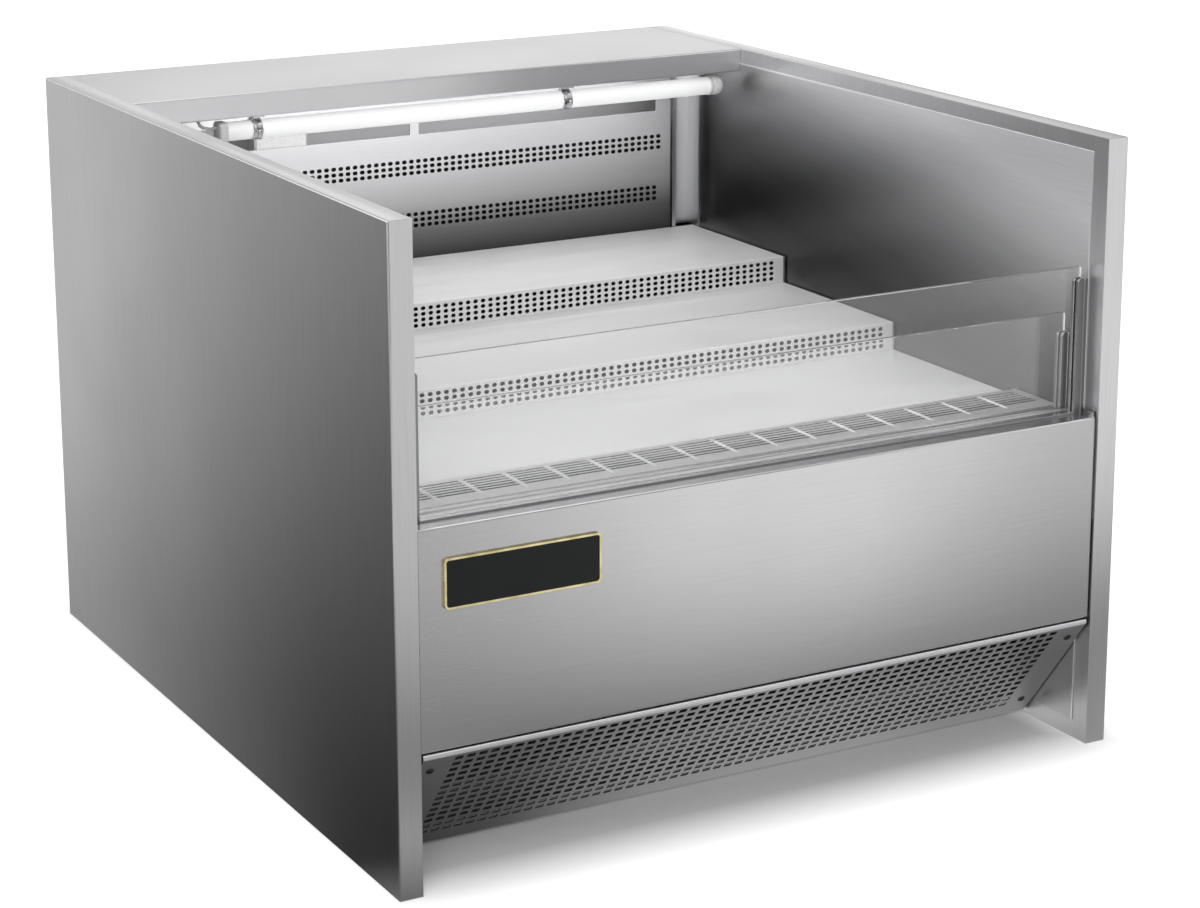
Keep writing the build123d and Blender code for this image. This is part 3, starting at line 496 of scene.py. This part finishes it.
# The duct panel's sheet carries that painted shade and light
DUCT_STEEL = brushed("duct_steel", DUCT_PAINTED_SHADING, "X", 0.34, 0.4, relief=0.5, metallic=0.5)
POST_STEEL = brushed("post_steel", 0.3, "Z", 0.34, 0.3, 0.05, relief=0.3)
# Raised beads: a whiter copy of the grille's satin steel, a painted highlight
BEAD_STEEL = satin("bead_steel", 0.9, 0.3, 0.03, 0.5)

for row in frame["record"]["subparts"]:
    for held in frame["nodes"][row["node"]].material_slots:
        held.material = OWN_FINISH_AND_PAINTED_SHADING.get(row["node"], MATERIALS[row["material_slot"]])

# Folded and cut edges of these nodes catch a thin line of light.
EASED = (
    "side_liner_left",
    "side_liner_right",
    "side_panel_left",
    "side_panel_right",
    "top_deck",
    "rear_panel",
    "rear_service_panel",
    "front_panel",
    "front_ledge",
    "bottom_deck",
    "glass_rails",
    "lamp_driver",
    "name_plate_rim",
    "control_box",
    "kick_brackets",
    "inlet_gland",
)


def ease(shown, width=0.5, sharpest=35):
    """Weld a node's solids and round the edges that turn by more than an angle in degrees."""
    shown.modifiers.new("weld", "WELD").merge_threshold = 0.00001
    eased = shown.modifiers.new("eased", "BEVEL")
    eased.width = width * MM
    eased.segments = 2
    eased.limit_method = "ANGLE"
    eased.angle_limit = math.radians(sharpest)
    eased.harden_normals = True


for name in EASED:
    ease(frame["nodes"][name])

# Clear sheets let the lamps' light through.
for name in ("glass_front", "glass_rear"):
    frame["nodes"][name].visible_shadow = False

# ------------------------------------------------------------ folded sheets


def around(quarter, step, steps):
    """Angle of a step on one of the four arcs that round a rectangle's corners."""
    return math.pi / 2 * (quarter + step / steps)


# Signs of a rectangle's corners, anticlockwise from the upper right
QUARTERS = ((1, 1), (-1, 1), (-1, -1), (1, -1))


class Profile:
    """A fold's outer face as a run of straight lengths and rounded corners."""

    def __init__(self, points, radius, inside, turns=6):
        points = [Vector(p) for p in points]
        self.points = [points[0]]
        for before, point, after in zip(points, points[1:], points[2:]):
            self.points += self.arc(before, point, after, radius, turns)
        self.points.append(points[-1])
        self.at = [0.0]
        for one, two in zip(self.points, self.points[1:]):
            self.at.append(self.at[-1] + (two - one).length)
        self.length = self.at[-1]
        runs = [(two - one).normalized() for one, two in zip(self.points, self.points[1:])]
        self.normals = []
        for before, after in zip([Vector((0, 0))] + runs, runs + [Vector((0, 0))]):
            tangent = (before + after).normalized()
            self.normals.append(Vector((-tangent.y, tangent.x)) * inside)

    def arc(self, before, point, after, radius, turns):
        """Points of the round that takes the place of a corner."""
        back, on = (before - point).normalized(), (after - point).normalized()
        half = (math.pi - back.angle(on)) / 2
        centre = point + (back + on).normalized() * (radius / math.cos(half))
        start = point + back * radius * math.tan(half) - centre
        end = point + on * radius * math.tan(half) - centre
        sweep = start.angle_signed(end)
        points = []
        for step in range(turns + 1):
            turn = -sweep * step / turns
            across = start.x * math.cos(turn) - start.y * math.sin(turn)
            up = start.x * math.sin(turn) + start.y * math.cos(turn)
            points.append(centre + Vector((across, up)))
        return points

    def corner(self, corner, following):
        """Developed length at which a straight length would start if its corner were sharp."""
        run = (Vector(following) - Vector(corner)).normalized()
        for at, point in zip(self.at, self.points):
            offset = point - Vector(corner)
            if abs(offset.cross(run)) < 1e-4 and offset.dot(run) > 0:
                return at - offset.dot(run)

    def place(self, v, depth):
        """Point of the section at a length along the outer face and a depth below it."""
        v = min(max(v, 0.0), self.length)
        for index in range(len(self.at) - 1):
            if v <= self.at[index + 1] + 1e-9:
                break
        length = self.at[index + 1] - self.at[index]
        share = (v - self.at[index]) / length
        point = self.points[index].lerp(self.points[index + 1], share)
        normal = self.normals[index].lerp(self.normals[index + 1], share).normalized()
        if length > 2.5:  # a straight length, whose face is flat up to its ends
            run = (self.points[index + 1] - self.points[index]).normalized()
            side = Vector((-run.y, run.x))
            normal = side if side.dot(normal) > 0 else -side
        return point + normal * depth


class Pattern:
    """A grid of equal rounded holes in a flat part of a sheet. u is along the sheet, v across."""

    def __init__(self, u_middle, u_pitch, columns, v_first, v_pitch, rows, size, corner, turns=3):
        self.u0 = u_middle - u_pitch * columns / 2
        self.u1 = u_middle + u_pitch * columns / 2
        self.v0 = v_first - v_pitch / 2
        self.v1 = self.v0 + v_pitch * rows
        self.u_pitch, self.columns = u_pitch, columns
        self.v_pitch, self.rows = v_pitch, rows
        self.size, self.corner, self.turns = size, corner, turns

    def cells(self):
        """The four corners of each hole's own piece of sheet, from the upper right."""
        for column in range(self.columns):
            for row in range(self.rows):
                u0 = self.u0 + column * self.u_pitch
                v0 = self.v0 + row * self.v_pitch
                u1, v1 = u0 + self.u_pitch, v0 + self.v_pitch
                yield (u1, v1), (u0, v1), (u0, v0), (u1, v0)

    def hole(self, u, v):
        """The hole's corners, each an arc, anticlockwise from the upper right."""
        width, height = self.size
        corners = []
        for quarter, (a, b) in enumerate(QUARTERS):
            centre = (u + a * (width / 2 - self.corner), v + b * (height / 2 - self.corner))
            turns = [around(quarter, step, self.turns) for step in range(self.turns + 1)]
            corners.append(
                [
                    (
                        centre[0] + self.corner * math.cos(turn),
                        centre[1] + self.corner * math.sin(turn),
                    )
                    for turn in turns
                ]
            )
        return corners


def along_x(u, a, b):
    return (u, a, b)


def sheet_mesh(name, profile, half, patterns, lay=along_x):
    """Folded and punched sheet. lay turns (along, section x, section y) into a place in mm."""
    verts, faces, cuts = [], [], []

    def put(u, v, depth):
        point = profile.place(v, depth)
        verts.append(lay(u, point.x, point.y))
        return len(verts) - 1

    def both(loop):
        """The same face on the outside and, turned over, on the inside of the sheet."""
        faces.append([put(u, v, 0.0) for u, v in loop])
        faces.append([put(u, v, SHEET) for u, v in loop][::-1])

    def wall(one, two):
        faces.append([put(*one, 0.0), put(*one, SHEET), put(*two, SHEET), put(*two, 0.0)])

    def cut(one, two):
        cuts.append(len(faces))
        wall(one, two)

    levels = set(profile.at) | {v for pattern in patterns for v in (pattern.v0, pattern.v1)}
    lines = sorted({round(v, 6) for v in levels})
    for low, high in zip(lines, lines[1:]):
        middle = (low + high) / 2
        here = sorted((p for p in patterns if p.v0 < middle < p.v1), key=lambda p: p.u0)
        edge = -half
        for pattern in here:
            both([(edge, low), (pattern.u0, low), (pattern.u0, high), (edge, high)])
            edge = pattern.u1
        both([(edge, low), (half, low), (half, high), (edge, high)])
        wall((-half, high), (-half, low))
        wall((half, low), (half, high))
    wall((-half, 0.0), (half, 0.0))
    wall((half, profile.length), (-half, profile.length))

    for pattern in patterns:
        for cell in pattern.cells():
            (right, upper), (left, lower) = cell[0], cell[2]
            arcs = pattern.hole((left + right) / 2, (lower + upper) / 2)
            for index, arc in enumerate(arcs):
                following = (index + 1) % 4
                for one, two in zip(arc, arc[1:]):
                    both([cell[index], two, one])
                    cut(one, two)
                both([cell[index], cell[following], arcs[following][0], arc[-1]])
                cut(arc[-1], arcs[following][0])
    mesh = bpy.data.meshes.new(name)
    mesh.from_pydata([Vector(v) * MM for v in verts], [], faces)
    # The cut walls take the second material, a near-black painted shade
    for index in cuts:
        mesh.polygons[index].material_index = 1
    return finish_mesh(mesh)


def finish_mesh(mesh, sharpest=32, outwards=False):
    """Weld, drop what has no area and smooth the folds up to an angle in degrees."""
    work = bmesh.new()
    work.from_mesh(mesh)
    bmesh.ops.remove_doubles(work, verts=work.verts, dist=2e-6)
    bmesh.ops.dissolve_degenerate(work, edges=work.edges, dist=1e-6)
    if outwards:
        bmesh.ops.recalc_face_normals(work, faces=work.faces)
    work.to_mesh(mesh)
    work.free()
    mesh.polygons.foreach_set("use_smooth", [True] * len(mesh.polygons))
    mesh.set_sharp_from_angle(angle=math.radians(sharpest))
    return mesh


def piece(mesh, body, slot, stands_for=(), finish=None):
    """Link a mesh as a piece that rides on a body and takes its slot's finish or its own. The
    cut walls of its holes take the second material, a near-black painted shade."""
    made = bpy.data.objects.new(mesh.name, mesh)
    bpy.context.collection.objects.link(made)
    mesh.materials.append(finish or MATERIALS[slot])
    if any(polygon.material_index for polygon in mesh.polygons):
        mesh.materials.append(MATERIALS["cut_edge_painted_shade"])
    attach(made, body)
    if stands_for:
        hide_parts(*stands_for)


def step_sheet(name, front, rear, top):
    """Tread and riser. The riser has four rows of small rounded holes."""
    section = Profile(((front, top - RISER), (front, top), (rear, top)), BEND, -1)
    lowest = RISER - RISER_TOP_ROW - RISER_ROW_PITCH * (RISER_ROWS - 1)
    holes = Pattern(
        0,
        RISER_COLUMN_PITCH,
        RISER_COLUMNS,
        lowest,
        RISER_ROW_PITCH,
        RISER_ROWS,
        RISER_HOLE,
        RISER_HOLE_CORNER,
    )
    return sheet_mesh(name, section, SHELF_HALF, [holes])


piece(
    step_sheet("step_middle_sheet", *MIDDLE_STEP), "step_middle", "shelf_steel", ["step_middle"]
)
piece(step_sheet("step_top_sheet", *TOP_STEP), "step_top", "shelf_steel", ["step_top"])


def duct_sheet():
    """Duct cover: three and three rows of holes, and two windows under the canopy."""
    section = Profile(
        (
            (-DUCT_HALF, DUCT_END_Y),
            (-DUCT_HALF, DUCT_Y),
            (DUCT_HALF, DUCT_Y),
            (DUCT_HALF, DUCT_END_Y),
        ),
        BEND,
        1,
    )
    middle, level = section.length / 2, (DUCT_BOTTOM + DUCT_TOP) / 2
    patterns = []
    for first, columns, pitch in DUCT_BANDS:
        start = middle - (columns - 1) * pitch / 2
        for row in range(DUCT_BAND_ROWS):
            z = first - row * DUCT_ROW_PITCH - level
            patterns.append(
                Pattern(z, DUCT_ROW_PITCH, 1, start, pitch, columns, DUCT_HOLE, DUCT_HOLE_CORNER)
            )
    tall, wide = (size + WINDOW_EDGE for size in WINDOW)
    for edge in WINDOW_LEFT_EDGES:
        across = middle + edge + WINDOW[1] / 2
        patterns.append(
            Pattern(WINDOW_Z - level, tall, 1, across, wide, 1, WINDOW, WINDOW_CORNER, 2)
        )

    def upright(u, a, b):
        return (a, b, u + level)

    return sheet_mesh("duct_sheet", section, (DUCT_TOP - DUCT_BOTTOM) / 2, patterns, upright)


piece(duct_sheet(), "cabinet", "shelf_steel", ["duct_panel"], DUCT_STEEL)


def kick_sheet():
    """Sloped kick plate with fourteen rows of short slots."""
    lip = (KICK_TOP[0], KICK_LIP_Z)
    rear = (KICK_REAR_Y, KICK_FOOT[1])
    section = Profile(
        ((KICK_LIP_Y, KICK_LIP_Z), lip, KICK_TOP, KICK_FOOT, rear), KICK_BEND, 1, 4
    )
    slots = Pattern(
        0,
        KICK_COLUMN_PITCH,
        KICK_COLUMNS,
        section.corner(KICK_TOP, KICK_FOOT) + KICK_FIRST_ROW,
        KICK_ROW_PITCH,
        KICK_ROWS,
        KICK_SLOT,
        KICK_SLOT_CORNER,
        2,
    )
    return sheet_mesh("kick_sheet", section, KICK_HALF, [slots])


piece(kick_sheet(), "cabinet", "kick_grey", ["kick_grille"])


def return_sheet():
    """Return air grille: groups of six slots, and a skirt at its front and rear."""
    front, rear = (GRILLE_FRONT_Y, LEDGE_Z), (GRILLE_REAR_Y, LEDGE_Z)
    front_skirt, rear_skirt = (GRILLE_FRONT_Y, GRILLE_SKIRT_Z), (GRILLE_REAR_Y, GRILLE_SKIRT_Z)
    section = Profile((front_skirt, front, rear, rear_skirt), BEND, -1)
    last = section.corner(front, rear) + GRILLE_REAR_ROW_Y - GRILLE_FRONT_Y
    slots = Pattern(
        0,
        GRILLE_GROUP_PITCH,
        GRILLE_GROUPS,
        last - GRILLE_ROW_PITCH * (GRILLE_ROWS - 1),
        GRILLE_ROW_PITCH,
        GRILLE_ROWS,
        GRILLE_SLOT,
        GRILLE_SLOT_CORNER,
    )
    return sheet_mesh("return_sheet", section, SHELF_HALF, [slots])


piece(return_sheet(), "return_grille", "grille_steel", ["return_grille"])

# ------------------------------------------------- turned and drawn pieces


class Build:
    """Collects the faces of one piece. Lengths are in millimetres."""

    def __init__(self):
        self.verts, self.faces = [], []

    def add(self, verts, faces):
        start = len(self.verts)
        self.verts += verts
        self.faces += [[start + index for index in face] for face in faces]

    def turned(self, profile, place, steps=64):
        """A profile of (radius, along) turned about an axis that place puts in the scene."""
        verts, faces, count = [], [], len(profile)
        for step in range(steps):
            turn = 2 * math.pi * step / steps
            for radius, along in profile:
                verts.append(place(radius * math.cos(turn), radius * math.sin(turn), along))
            one, two = step * count, (step + 1) % steps * count
            for index in range(count - 1):
                faces.append([one + index, two + index, two + index + 1, one + index + 1])
        self.add(verts, faces)

    def lofted(self, rings):
        """Rings of equal counts, joined one to the next and closed at both ends."""
        count = len(rings[0])
        last = count * (len(rings) - 1)
        faces = [list(range(count))[::-1], [last + index for index in range(count)]]
        for start in range(0, last, count):
            for index in range(count):
                one, two = start + index, start + (index + 1) % count
                faces.append([one, two, two + count, one + count])
        self.add([point for ring in rings for point in ring], faces)

    def tube(self, path, radius, sides):
        """A round tube along a run of points."""
        rings = []
        side = (path[1] - path[0]).orthogonal().normalized()
        for index, point in enumerate(path):
            before, after = path[max(index - 1, 0)], path[min(index + 1, len(path) - 1)]
            run = (after - before).normalized()
            side = (side - run * side.dot(run)).normalized()
            other = run.cross(side)
            turns = [2 * math.pi * step / sides for step in range(sides)]
            rings.append(
                [point + (side * math.cos(t) + other * math.sin(t)) * radius for t in turns]
            )
        self.lofted(rings)

    def mesh(self, name, sharpest=40):
        made = bpy.data.meshes.new(name)
        made.from_pydata([Vector(v) * MM for v in self.verts], [], self.faces)
        return finish_mesh(made, sharpest, outwards=True)


def rounded(width, height, corner, turns=5):
    """A rounded rectangle about the origin, anticlockwise."""
    outline = []
    for quarter, (a, b) in enumerate(QUARTERS):
        for turn in (around(quarter, step, turns) for step in range(turns + 1)):
            x = a * (width / 2 - corner) + corner * math.cos(turn)
            y = b * (height / 2 - corner) + corner * math.sin(turn)
            outline.append((x, y))
    return outline


def mirrored(points):
    """The points turned over in their second number, in reverse order."""
    return [(a, -b) for a, b in reversed(points)]


def lamp_axis(a, b, along):
    return (along, LAMP_Y + a, LAMP_Z + b)


def lamp_tube():
    tube = Build()
    ends = ((0, TUBE_LEFT), (TUBE_RADIUS, TUBE_LEFT), (TUBE_RADIUS, TUBE_RIGHT), (0, TUBE_RIGHT))
    tube.turned(ends, lamp_axis)
    piece(tube.mesh("lamp_tube_glass"), "cabinet", "lamp_glass", ["lamp_tube"])


def lamp_caps():
    """A square cap with eased edges, and a round one with a groove and a rounded end."""
    caps = Build()
    rings = []
    # How far the square outline is drawn in, and where along the tube
    for inset, x in ((3, -347), (1.2, -346.4), (0.3, -345), (0, -343), (0, -336), (0.8, -335)):
        wide = 2 * (CAP_RADIUS - inset)
        rings.append([lamp_axis(a, b, x) for a, b in rounded(wide, wide, CAP_CORNER - inset)])
    caps.lofted(rings)

    # Radius and place along the tube, up to where the rounded end starts
    rim, groove = CAP_RADIUS, CAP_RADIUS - 0.5
    profile = [(0, 422), (13.2, 422), (rim, 423), (rim, 426)]
    profile += [(groove, 426.6), (groove, 428), (rim, 428.6)]
    for turn in (math.pi / 2 * step / 6 for step in range(7)):
        radius = CAP_RADIUS - CAP_ROUNDING * (1 - math.cos(turn))
        profile.append((radius, CAP_END - CAP_ROUNDING * (1 - math.sin(turn))))
    caps.turned(profile + [(0, CAP_END)], lamp_axis)
    piece(caps.mesh("lamp_caps"), "cabinet", "white_plastic", ["lamp_end_caps"])


def lamp_clips():
    """Ribbed spring bands round the tube, each hung from a plate on the soffit."""
    # Outer face of half a band: radius and distance from its middle
    half = [(14.9, 0.3), (14.2, 0.8), (14.2, 4), (15, 5), (15, 6.2), (14.6, 7), (13.1, 7)]
    band = mirrored(half) + half
    # Level, depth and width up the stem, and of its plate
    stem = ((746.4, 8, 14), (748, 7, 14), (749.6, 9, 14), (750.5, 16, 16))
    plate = ((750.5, 30, 18), (752, 30, 18))
    clips = Build()
    for middle in CLIPS_X:
        clips.turned([(radius, middle + along) for radius, along in band + band[:1]], lamp_axis)
        clips.lofted(
            [
                [(middle + a, LAMP_Y + b, z) for a, b in rounded(width, depth, 1.5, 3)]
                for z, depth, width in stem + plate
            ]
        )
    piece(clips.mesh("lamp_clip_bands"), "cabinet", "chrome", ["lamp_clips"])


def lamp_lead():
    """Two wires twisted about each other, in one curve from the square cap to the soffit."""
    route = ((-346, 738.5), (-374, 736), (-373, 752))
    start, bend, end = (Vector((x, LAMP_Y, z)) for x, z in route)
    steps, turns, apart, radius = 40, 2.5, 1.3, 1.25
    line = []
    for s in (step / steps for step in range(steps + 1)):
        line.append(start * (1 - s) ** 2 + bend * 2 * s * (1 - s) + end * s * s)
    across = Vector((0, 1, 0))
    lead = Build()
    for strand in (0, 1):
        path = []
        for index, point in enumerate(line):
            run = (line[min(index + 1, steps)] - line[max(index - 1, 0)]).normalized()
            turn = math.pi * (strand + 2 * turns * index / steps)
            aside = across * math.cos(turn) + run.cross(across) * math.sin(turn)
            path.append(point + aside * apart)
        lead.tube(path, radius, 10)
    piece(lead.mesh("lamp_lead_pair"), "cabinet", "lead_sheath", ["lamp_lead"])


lamp_tube()
lamp_caps()
lamp_clips()
lamp_lead()


def grille_beads():
    """Raised cross bars on the return grille, with rounded ends."""
    beads, steps = Build(), 8
    for column in range(1, GRILLE_GROUPS):
        x = GRILLE_GROUP_PITCH * (column - GRILLE_GROUPS / 2)
        rings = []
        for share in (step / steps for step in range(steps + 1)):
            size = math.sin(math.pi * min(max(share, 0.03), 0.97)) ** 0.25
            turns = [math.pi * step / steps for step in range(steps + 1)]
            rings.append(
                [
                    (
                        x + BEAD_HALF * size * math.cos(turn),
                        BEAD_REAR_Y - BEAD_LENGTH * share,
                        LEDGE_Z - BEAD_SINK + BEAD_RISE * size * math.sin(turn),
                    )
                    for turn in turns
                ]
            )
        beads.lofted(rings)
    piece(beads.mesh("grille_beads", 60), "return_grille", "chrome", finish=BEAD_STEEL)


grille_beads()


def post_pair(name, node, middle, top):
    """Drawn channels for one glass strip: a slot for the glass and ribs on the other faces."""
    # Half of the ribbed outline and half of the slot: distance from the inner face, then across
    ribs = [(15, 7.5), (14.5, 8), (10.3, 8), (9.6, 7.2), (4.9, 7.2), (4.2, 8), (0.5, 8)]
    lip = (0, POST_SLOT_HALF + 0.6), (0.7, POST_SLOT_HALF)
    slot = [(0, 7.5), *lip, (POST_SLOT_DEPTH, POST_SLOT_HALF)]
    section = mirrored(ribs) + ribs + slot + mirrored(slot)
    # Levels, and how far the outline is drawn in for the rounded top
    levels = ((LEDGE_Z, 0), (top - 5, 0), (top - 2.6, 0.7), (top - 0.9, 2.2), (top, 4.5))
    posts = Build()
    for side in (-1, 1):
        rings = []
        for z, inset in levels:
            ring = []
            for a, b in section:
                narrowed = 1 - 0.03 * inset if abs(b) > 7 else 1
                x = POST_X + a + inset * (1 - a / POST_WIDTH)
                ring.append((side * x, middle + b * narrowed, z))
            rings.append(ring)
        posts.lofted(rings)
    piece(posts.mesh(name, 30), "cabinet", "chrome", [node], POST_STEEL)


post_pair("post_pair_tall", "glass_posts_tall", *TALL_POSTS)
post_pair("post_pair_short", "glass_posts_short", *SHORT_POSTS)


def screw_heads():
    """Domed heads with a round recess on the kick plate's corners."""
    heads = Build()
    top = Vector((0, *KICK_TOP))
    down = (Vector((0, *KICK_FOOT)) - top).normalized()
    out = Vector((0, down.z, -down.y))
    # Radius and height over the plate, from under the rim to the floor of the recess
    dome = [(0, -0.3), (5.2, -0.3), (5.2, 0.2), (4.9, 0.7), (4.2, 1.25), (3.2, 1.6), (2.4, 1.7)]
    recess = [(2.1, 0.4), (0, 0.3)]
    for across, along in KICK_SCREWS:
        centre = top + down * along + Vector((across, 0, 0))

        def place(a, b, rise, centre=centre):
            return centre + Vector((a, 0, 0)) + down * b + out * rise

        heads.turned(dome + recess, place, 36)
    piece(heads.mesh("kick_screw_heads"), "cabinet", "screw_black", ["kick_screws"])


screw_heads()

# ------------------------------------------------------------- the surround


def stage_square(name, half, z, shown, seen=True):
    """A level square of the stage. Where it isn't seen, only polished faces show it."""
    corners = [(a * half, b * half, z) for a, b in ((-1, -1), (1, -1), (1, 1), (-1, 1))]
    mesh = bpy.data.meshes.new(name)
    mesh.from_pydata(corners, [], [[0, 1, 2, 3]])
    mesh.materials.append(shown)
    made = bpy.data.objects.new(name, mesh)
    bpy.context.collection.objects.link(made)
    if not seen:
        made.visible_camera = False
        made.visible_diffuse = False
        made.visible_shadow = False
        made.visible_transmission = False


def floor_material():
    """Pale floor: it keeps the shadow, deepened by a painted shadow where its glow is held back
    under and near the cabinet, and glows into the white background away from it.
    """
    g = material("floor")
    pale = g.ramp(g.noise(40.0, 2.0), ((0.3, (0.79,) * 3), (0.7, (0.81,) * 3)))
    parts = g.parts()
    outside = [
        g.math("SUBTRACT", g.math("ABSOLUTE", parts[axis]), cad_box[1][axis]) for axis in (0, 1)
    ]
    clear = g.math("MAXIMUM", *outside)
    # Painted shadow: the glow is held back under and near the cabinet
    near = g.spread(clear, low=0.03, high=0.62, start=-0.06, end=0.05)
    far = g.spread(clear, low=0.0, high=0.4, start=0.3, end=2.5)
    rays = g.node("LightPath").outputs
    background = g.math("ADD", rays["Is Camera Ray"], rays["Is Glossy Ray"])
    background = g.math("ADD", background, rays["Is Transmission Ray"])
    lift = g.math("MULTIPLY", g.math("MINIMUM", background, 1.0), g.math("ADD", near, far))
    diffuse = g.node("BsdfDiffuse", {"Color": pale})
    glow = g.node("Emission", {"Color": (1, 1, 1, 1), "Strength": lift})
    shown = g.show(g.node("AddShader", {0: diffuse.outputs[0], 1: glow.outputs[0]}))
    shown.cycles.emission_sampling = "NONE"
    return shown


stage_square("floor", 30, 0, floor_material())

# The card under and round the cabinet is laid out for the photograph's viewpoint, in metres: the
# steel shows light that spreads from that place's mirror images in the side and front faces.
EYE_X, EYE_Y = -1.8, -3.337
MIRROR_X = -2 * HALF_WIDTH * MM - EYE_X
MIRROR_Y = 2 * FRONT_Y * MM - EYE_Y
CARD_LEVEL, PEAK = 1.5, 1.4
# Light by the slope from the mirror image, and by how far past the cabinet's face it is
SIDE_TURNS = ((2.1, 0.02), (2.26, 0.1), (2.57, 0.5), (2.875, 1.1), (3.2, 1.4))
SIDE_REACH = ((0.0, 0.3), (0.12, 0.42), (0.36, 0.88), (0.9, 1.0))
SIDE_WIDEST = 4.0  # slopes are divided by this, to fit the ramp
FRONT_TURNS = (
    (0.44, 0.62),
    (0.503, 0.82),
    (0.6, 1.2),
    (0.682, 1.4),
    (0.76, 0.95),
    (0.81, 0.7),
    (0.87, 1.0),
)
FRONT_REACH = ((0.02, 0.05), (0.13, 0.2), (0.25, 0.72), (0.36, 1.0))
# Soft pools of light under the cabinet's front and beside it: X, Y, radius and strength
POOLS = (
    (0.1, -0.5, 0.4, 0.42),
    (0.45, -0.45, 0.35, 0.5),
    (0.7, -0.7, 0.3, 0.3),
    (-0.42, -0.72, 0.3, 0.45),
    (-1.8, -1.2, 1.2, 0.9),
    (2.2, -0.9, 1.0, 0.9),
    (2.3, 0.6, 2.2, 1.1),
)


def studio_card():
    """Dark card seen only in polished faces, as the room is that the photograph's steel shows:
    light fans out behind the cabinet along its sides, and in front of it down the middle."""
    g = material("studio_card")
    place, parts = g.place(), g.parts()

    def fan(across, away, face, turns, reach):
        """Light by the slope of across to away, faded in from where away passes the face."""
        past = g.math("SUBTRACT", g.math("DIVIDE", away, face), 1.0)
        return g.math(
            "MULTIPLY", g.ramp(g.math("DIVIDE", across, away), turns), g.ramp(past, reach)
        )

    aside = g.math("ADD", g.math("ABSOLUTE", parts[0]), MIRROR_X)
    side = fan(
        g.math("ADD", parts[1], -EYE_Y),
        g.math("MULTIPLY", aside, SIDE_WIDEST),
        SIDE_WIDEST * (HALF_WIDTH * MM + MIRROR_X),
        greys(SIDE_TURNS, SIDE_WIDEST, PEAK),
        greys(SIDE_REACH),
    )
    front = fan(
        g.math("ADD", parts[0], -EYE_X),
        g.math("SUBTRACT", MIRROR_Y, parts[1]),
        MIRROR_Y - FRONT_Y * MM,
        greys(FRONT_TURNS, 1.0, PEAK),
        greys(FRONT_REACH),
    )
    total = g.mix(g.spread(parts[1], low=1.0, high=0.0, start=-0.62, end=-0.5), side, front)
    total = g.math("MULTIPLY", total, CARD_LEVEL)
    for x, y, radius, level in POOLS:
        away = g.vector("DISTANCE", place, (x, y, 0))
        total = g.math("ADD", g.spread(away, low=level, high=0.0, end=radius), total)
    shown = g.show(g.node("Emission", {"Strength": total}))
    shown.cycles.emission_sampling = "NONE"
    return shown


stage_square("studio_card", 12, 0.001, studio_card(), seen=False)

# The room in polished faces: direction, half angle in degrees and strength
LOBES = (
    (0.43, 0.89, 0.15, 38, 0.66),
    (0.46, 0.875, 0.15, 15, 0.6),
    (-0.6, 0.75, 0.2, 45, 1.3),
    (0.0, 0.0, 1.0, 50, 1.2),
    (-0.7, 0.0, 0.7, 50, 1.2),
    (0.0, -0.7, 0.7, 50, 0.7),
    (-0.95, -0.1, 0.3, 45, 1.2),
    (0.95, -0.2, 0.3, 45, 1.2),
)
ROOM = 0.3  # even light on everything else


def world():
    """White background for camera and glass, even light for the rest, and a room of soft lobes
    for polished faces."""
    made = bpy.data.worlds.new("studio")
    bpy.context.scene.world = made
    g = Graph(made, "OutputWorld")
    rays = g.node("LightPath").outputs
    toward = g.node("TexCoord").outputs["Generated"]
    total = 0.0
    for x, y, z, angle, level in LOBES:
        lobe = g.node(
            "MapRange",
            {
                "Value": g.vector("DOT_PRODUCT", toward, Vector((x, y, z)).normalized()),
                "From Min": math.cos(math.radians(angle)),
                "From Max": 1.0,
                "To Min": 0.0,
                "To Max": level,
            },
            interpolation_type="SMOOTHERSTEP",
        )
        total = g.math("ADD", lobe.outputs[0], total)
    room = g.node("Mix", {0: rays["Is Glossy Ray"], 2: ROOM, 3: total}).outputs[0]
    white = g.math("MAXIMUM", rays["Is Camera Ray"], rays["Is Transmission Ray"])
    strength = g.math("MAXIMUM", white, room)
    g.show(g.node("Background", {"Color": (1, 1, 1, 1), "Strength": strength}))
    made.cycles.sampling_method = "NONE"


world()


def softbox(name, place, target, size, power, glossy=False):
    """Rectangular lamp. Polished faces show the room instead of it, unless it is glossy."""
    data = bpy.data.lights.new(name, "AREA")
    data.shape = "RECTANGLE"
    data.size, data.size_y = size
    data.energy = power
    made = bpy.data.objects.new(name, data)
    made.location = place
    made.rotation_euler = (Vector(target) - Vector(place)).to_track_quat("-Z", "Y").to_euler()
    bpy.context.collection.objects.link(made)
    made.visible_glossy = glossy
    return made


softbox("key", (-1.6, -2.6, 3.4), (0, 0, 0.4), size=(2.6, 2.6), power=46)
softbox("top", (0.2, 0.3, 3.8), (0, 0.1, 0.4), size=(3.0, 3.0), power=48)
softbox("front", (-1.5, -3.2, 1.5), (0, 0, 0.4), size=(1.8, 1.4), power=22)
softbox("side", (-3.4, 0.4, 1.6), (0, 0, 0.4), size=(2.0, 2.0), power=20)

# The light that the tube throws on the duct panel behind it
glow = softbox(
    "lamp_glow",
    (0.044, 0.3158, 0.7202),
    (0.044, 0.365, 0.6),
    size=(0.74, 0.024),
    power=0.5,
    glossy=True,
)
glow.visible_camera = False
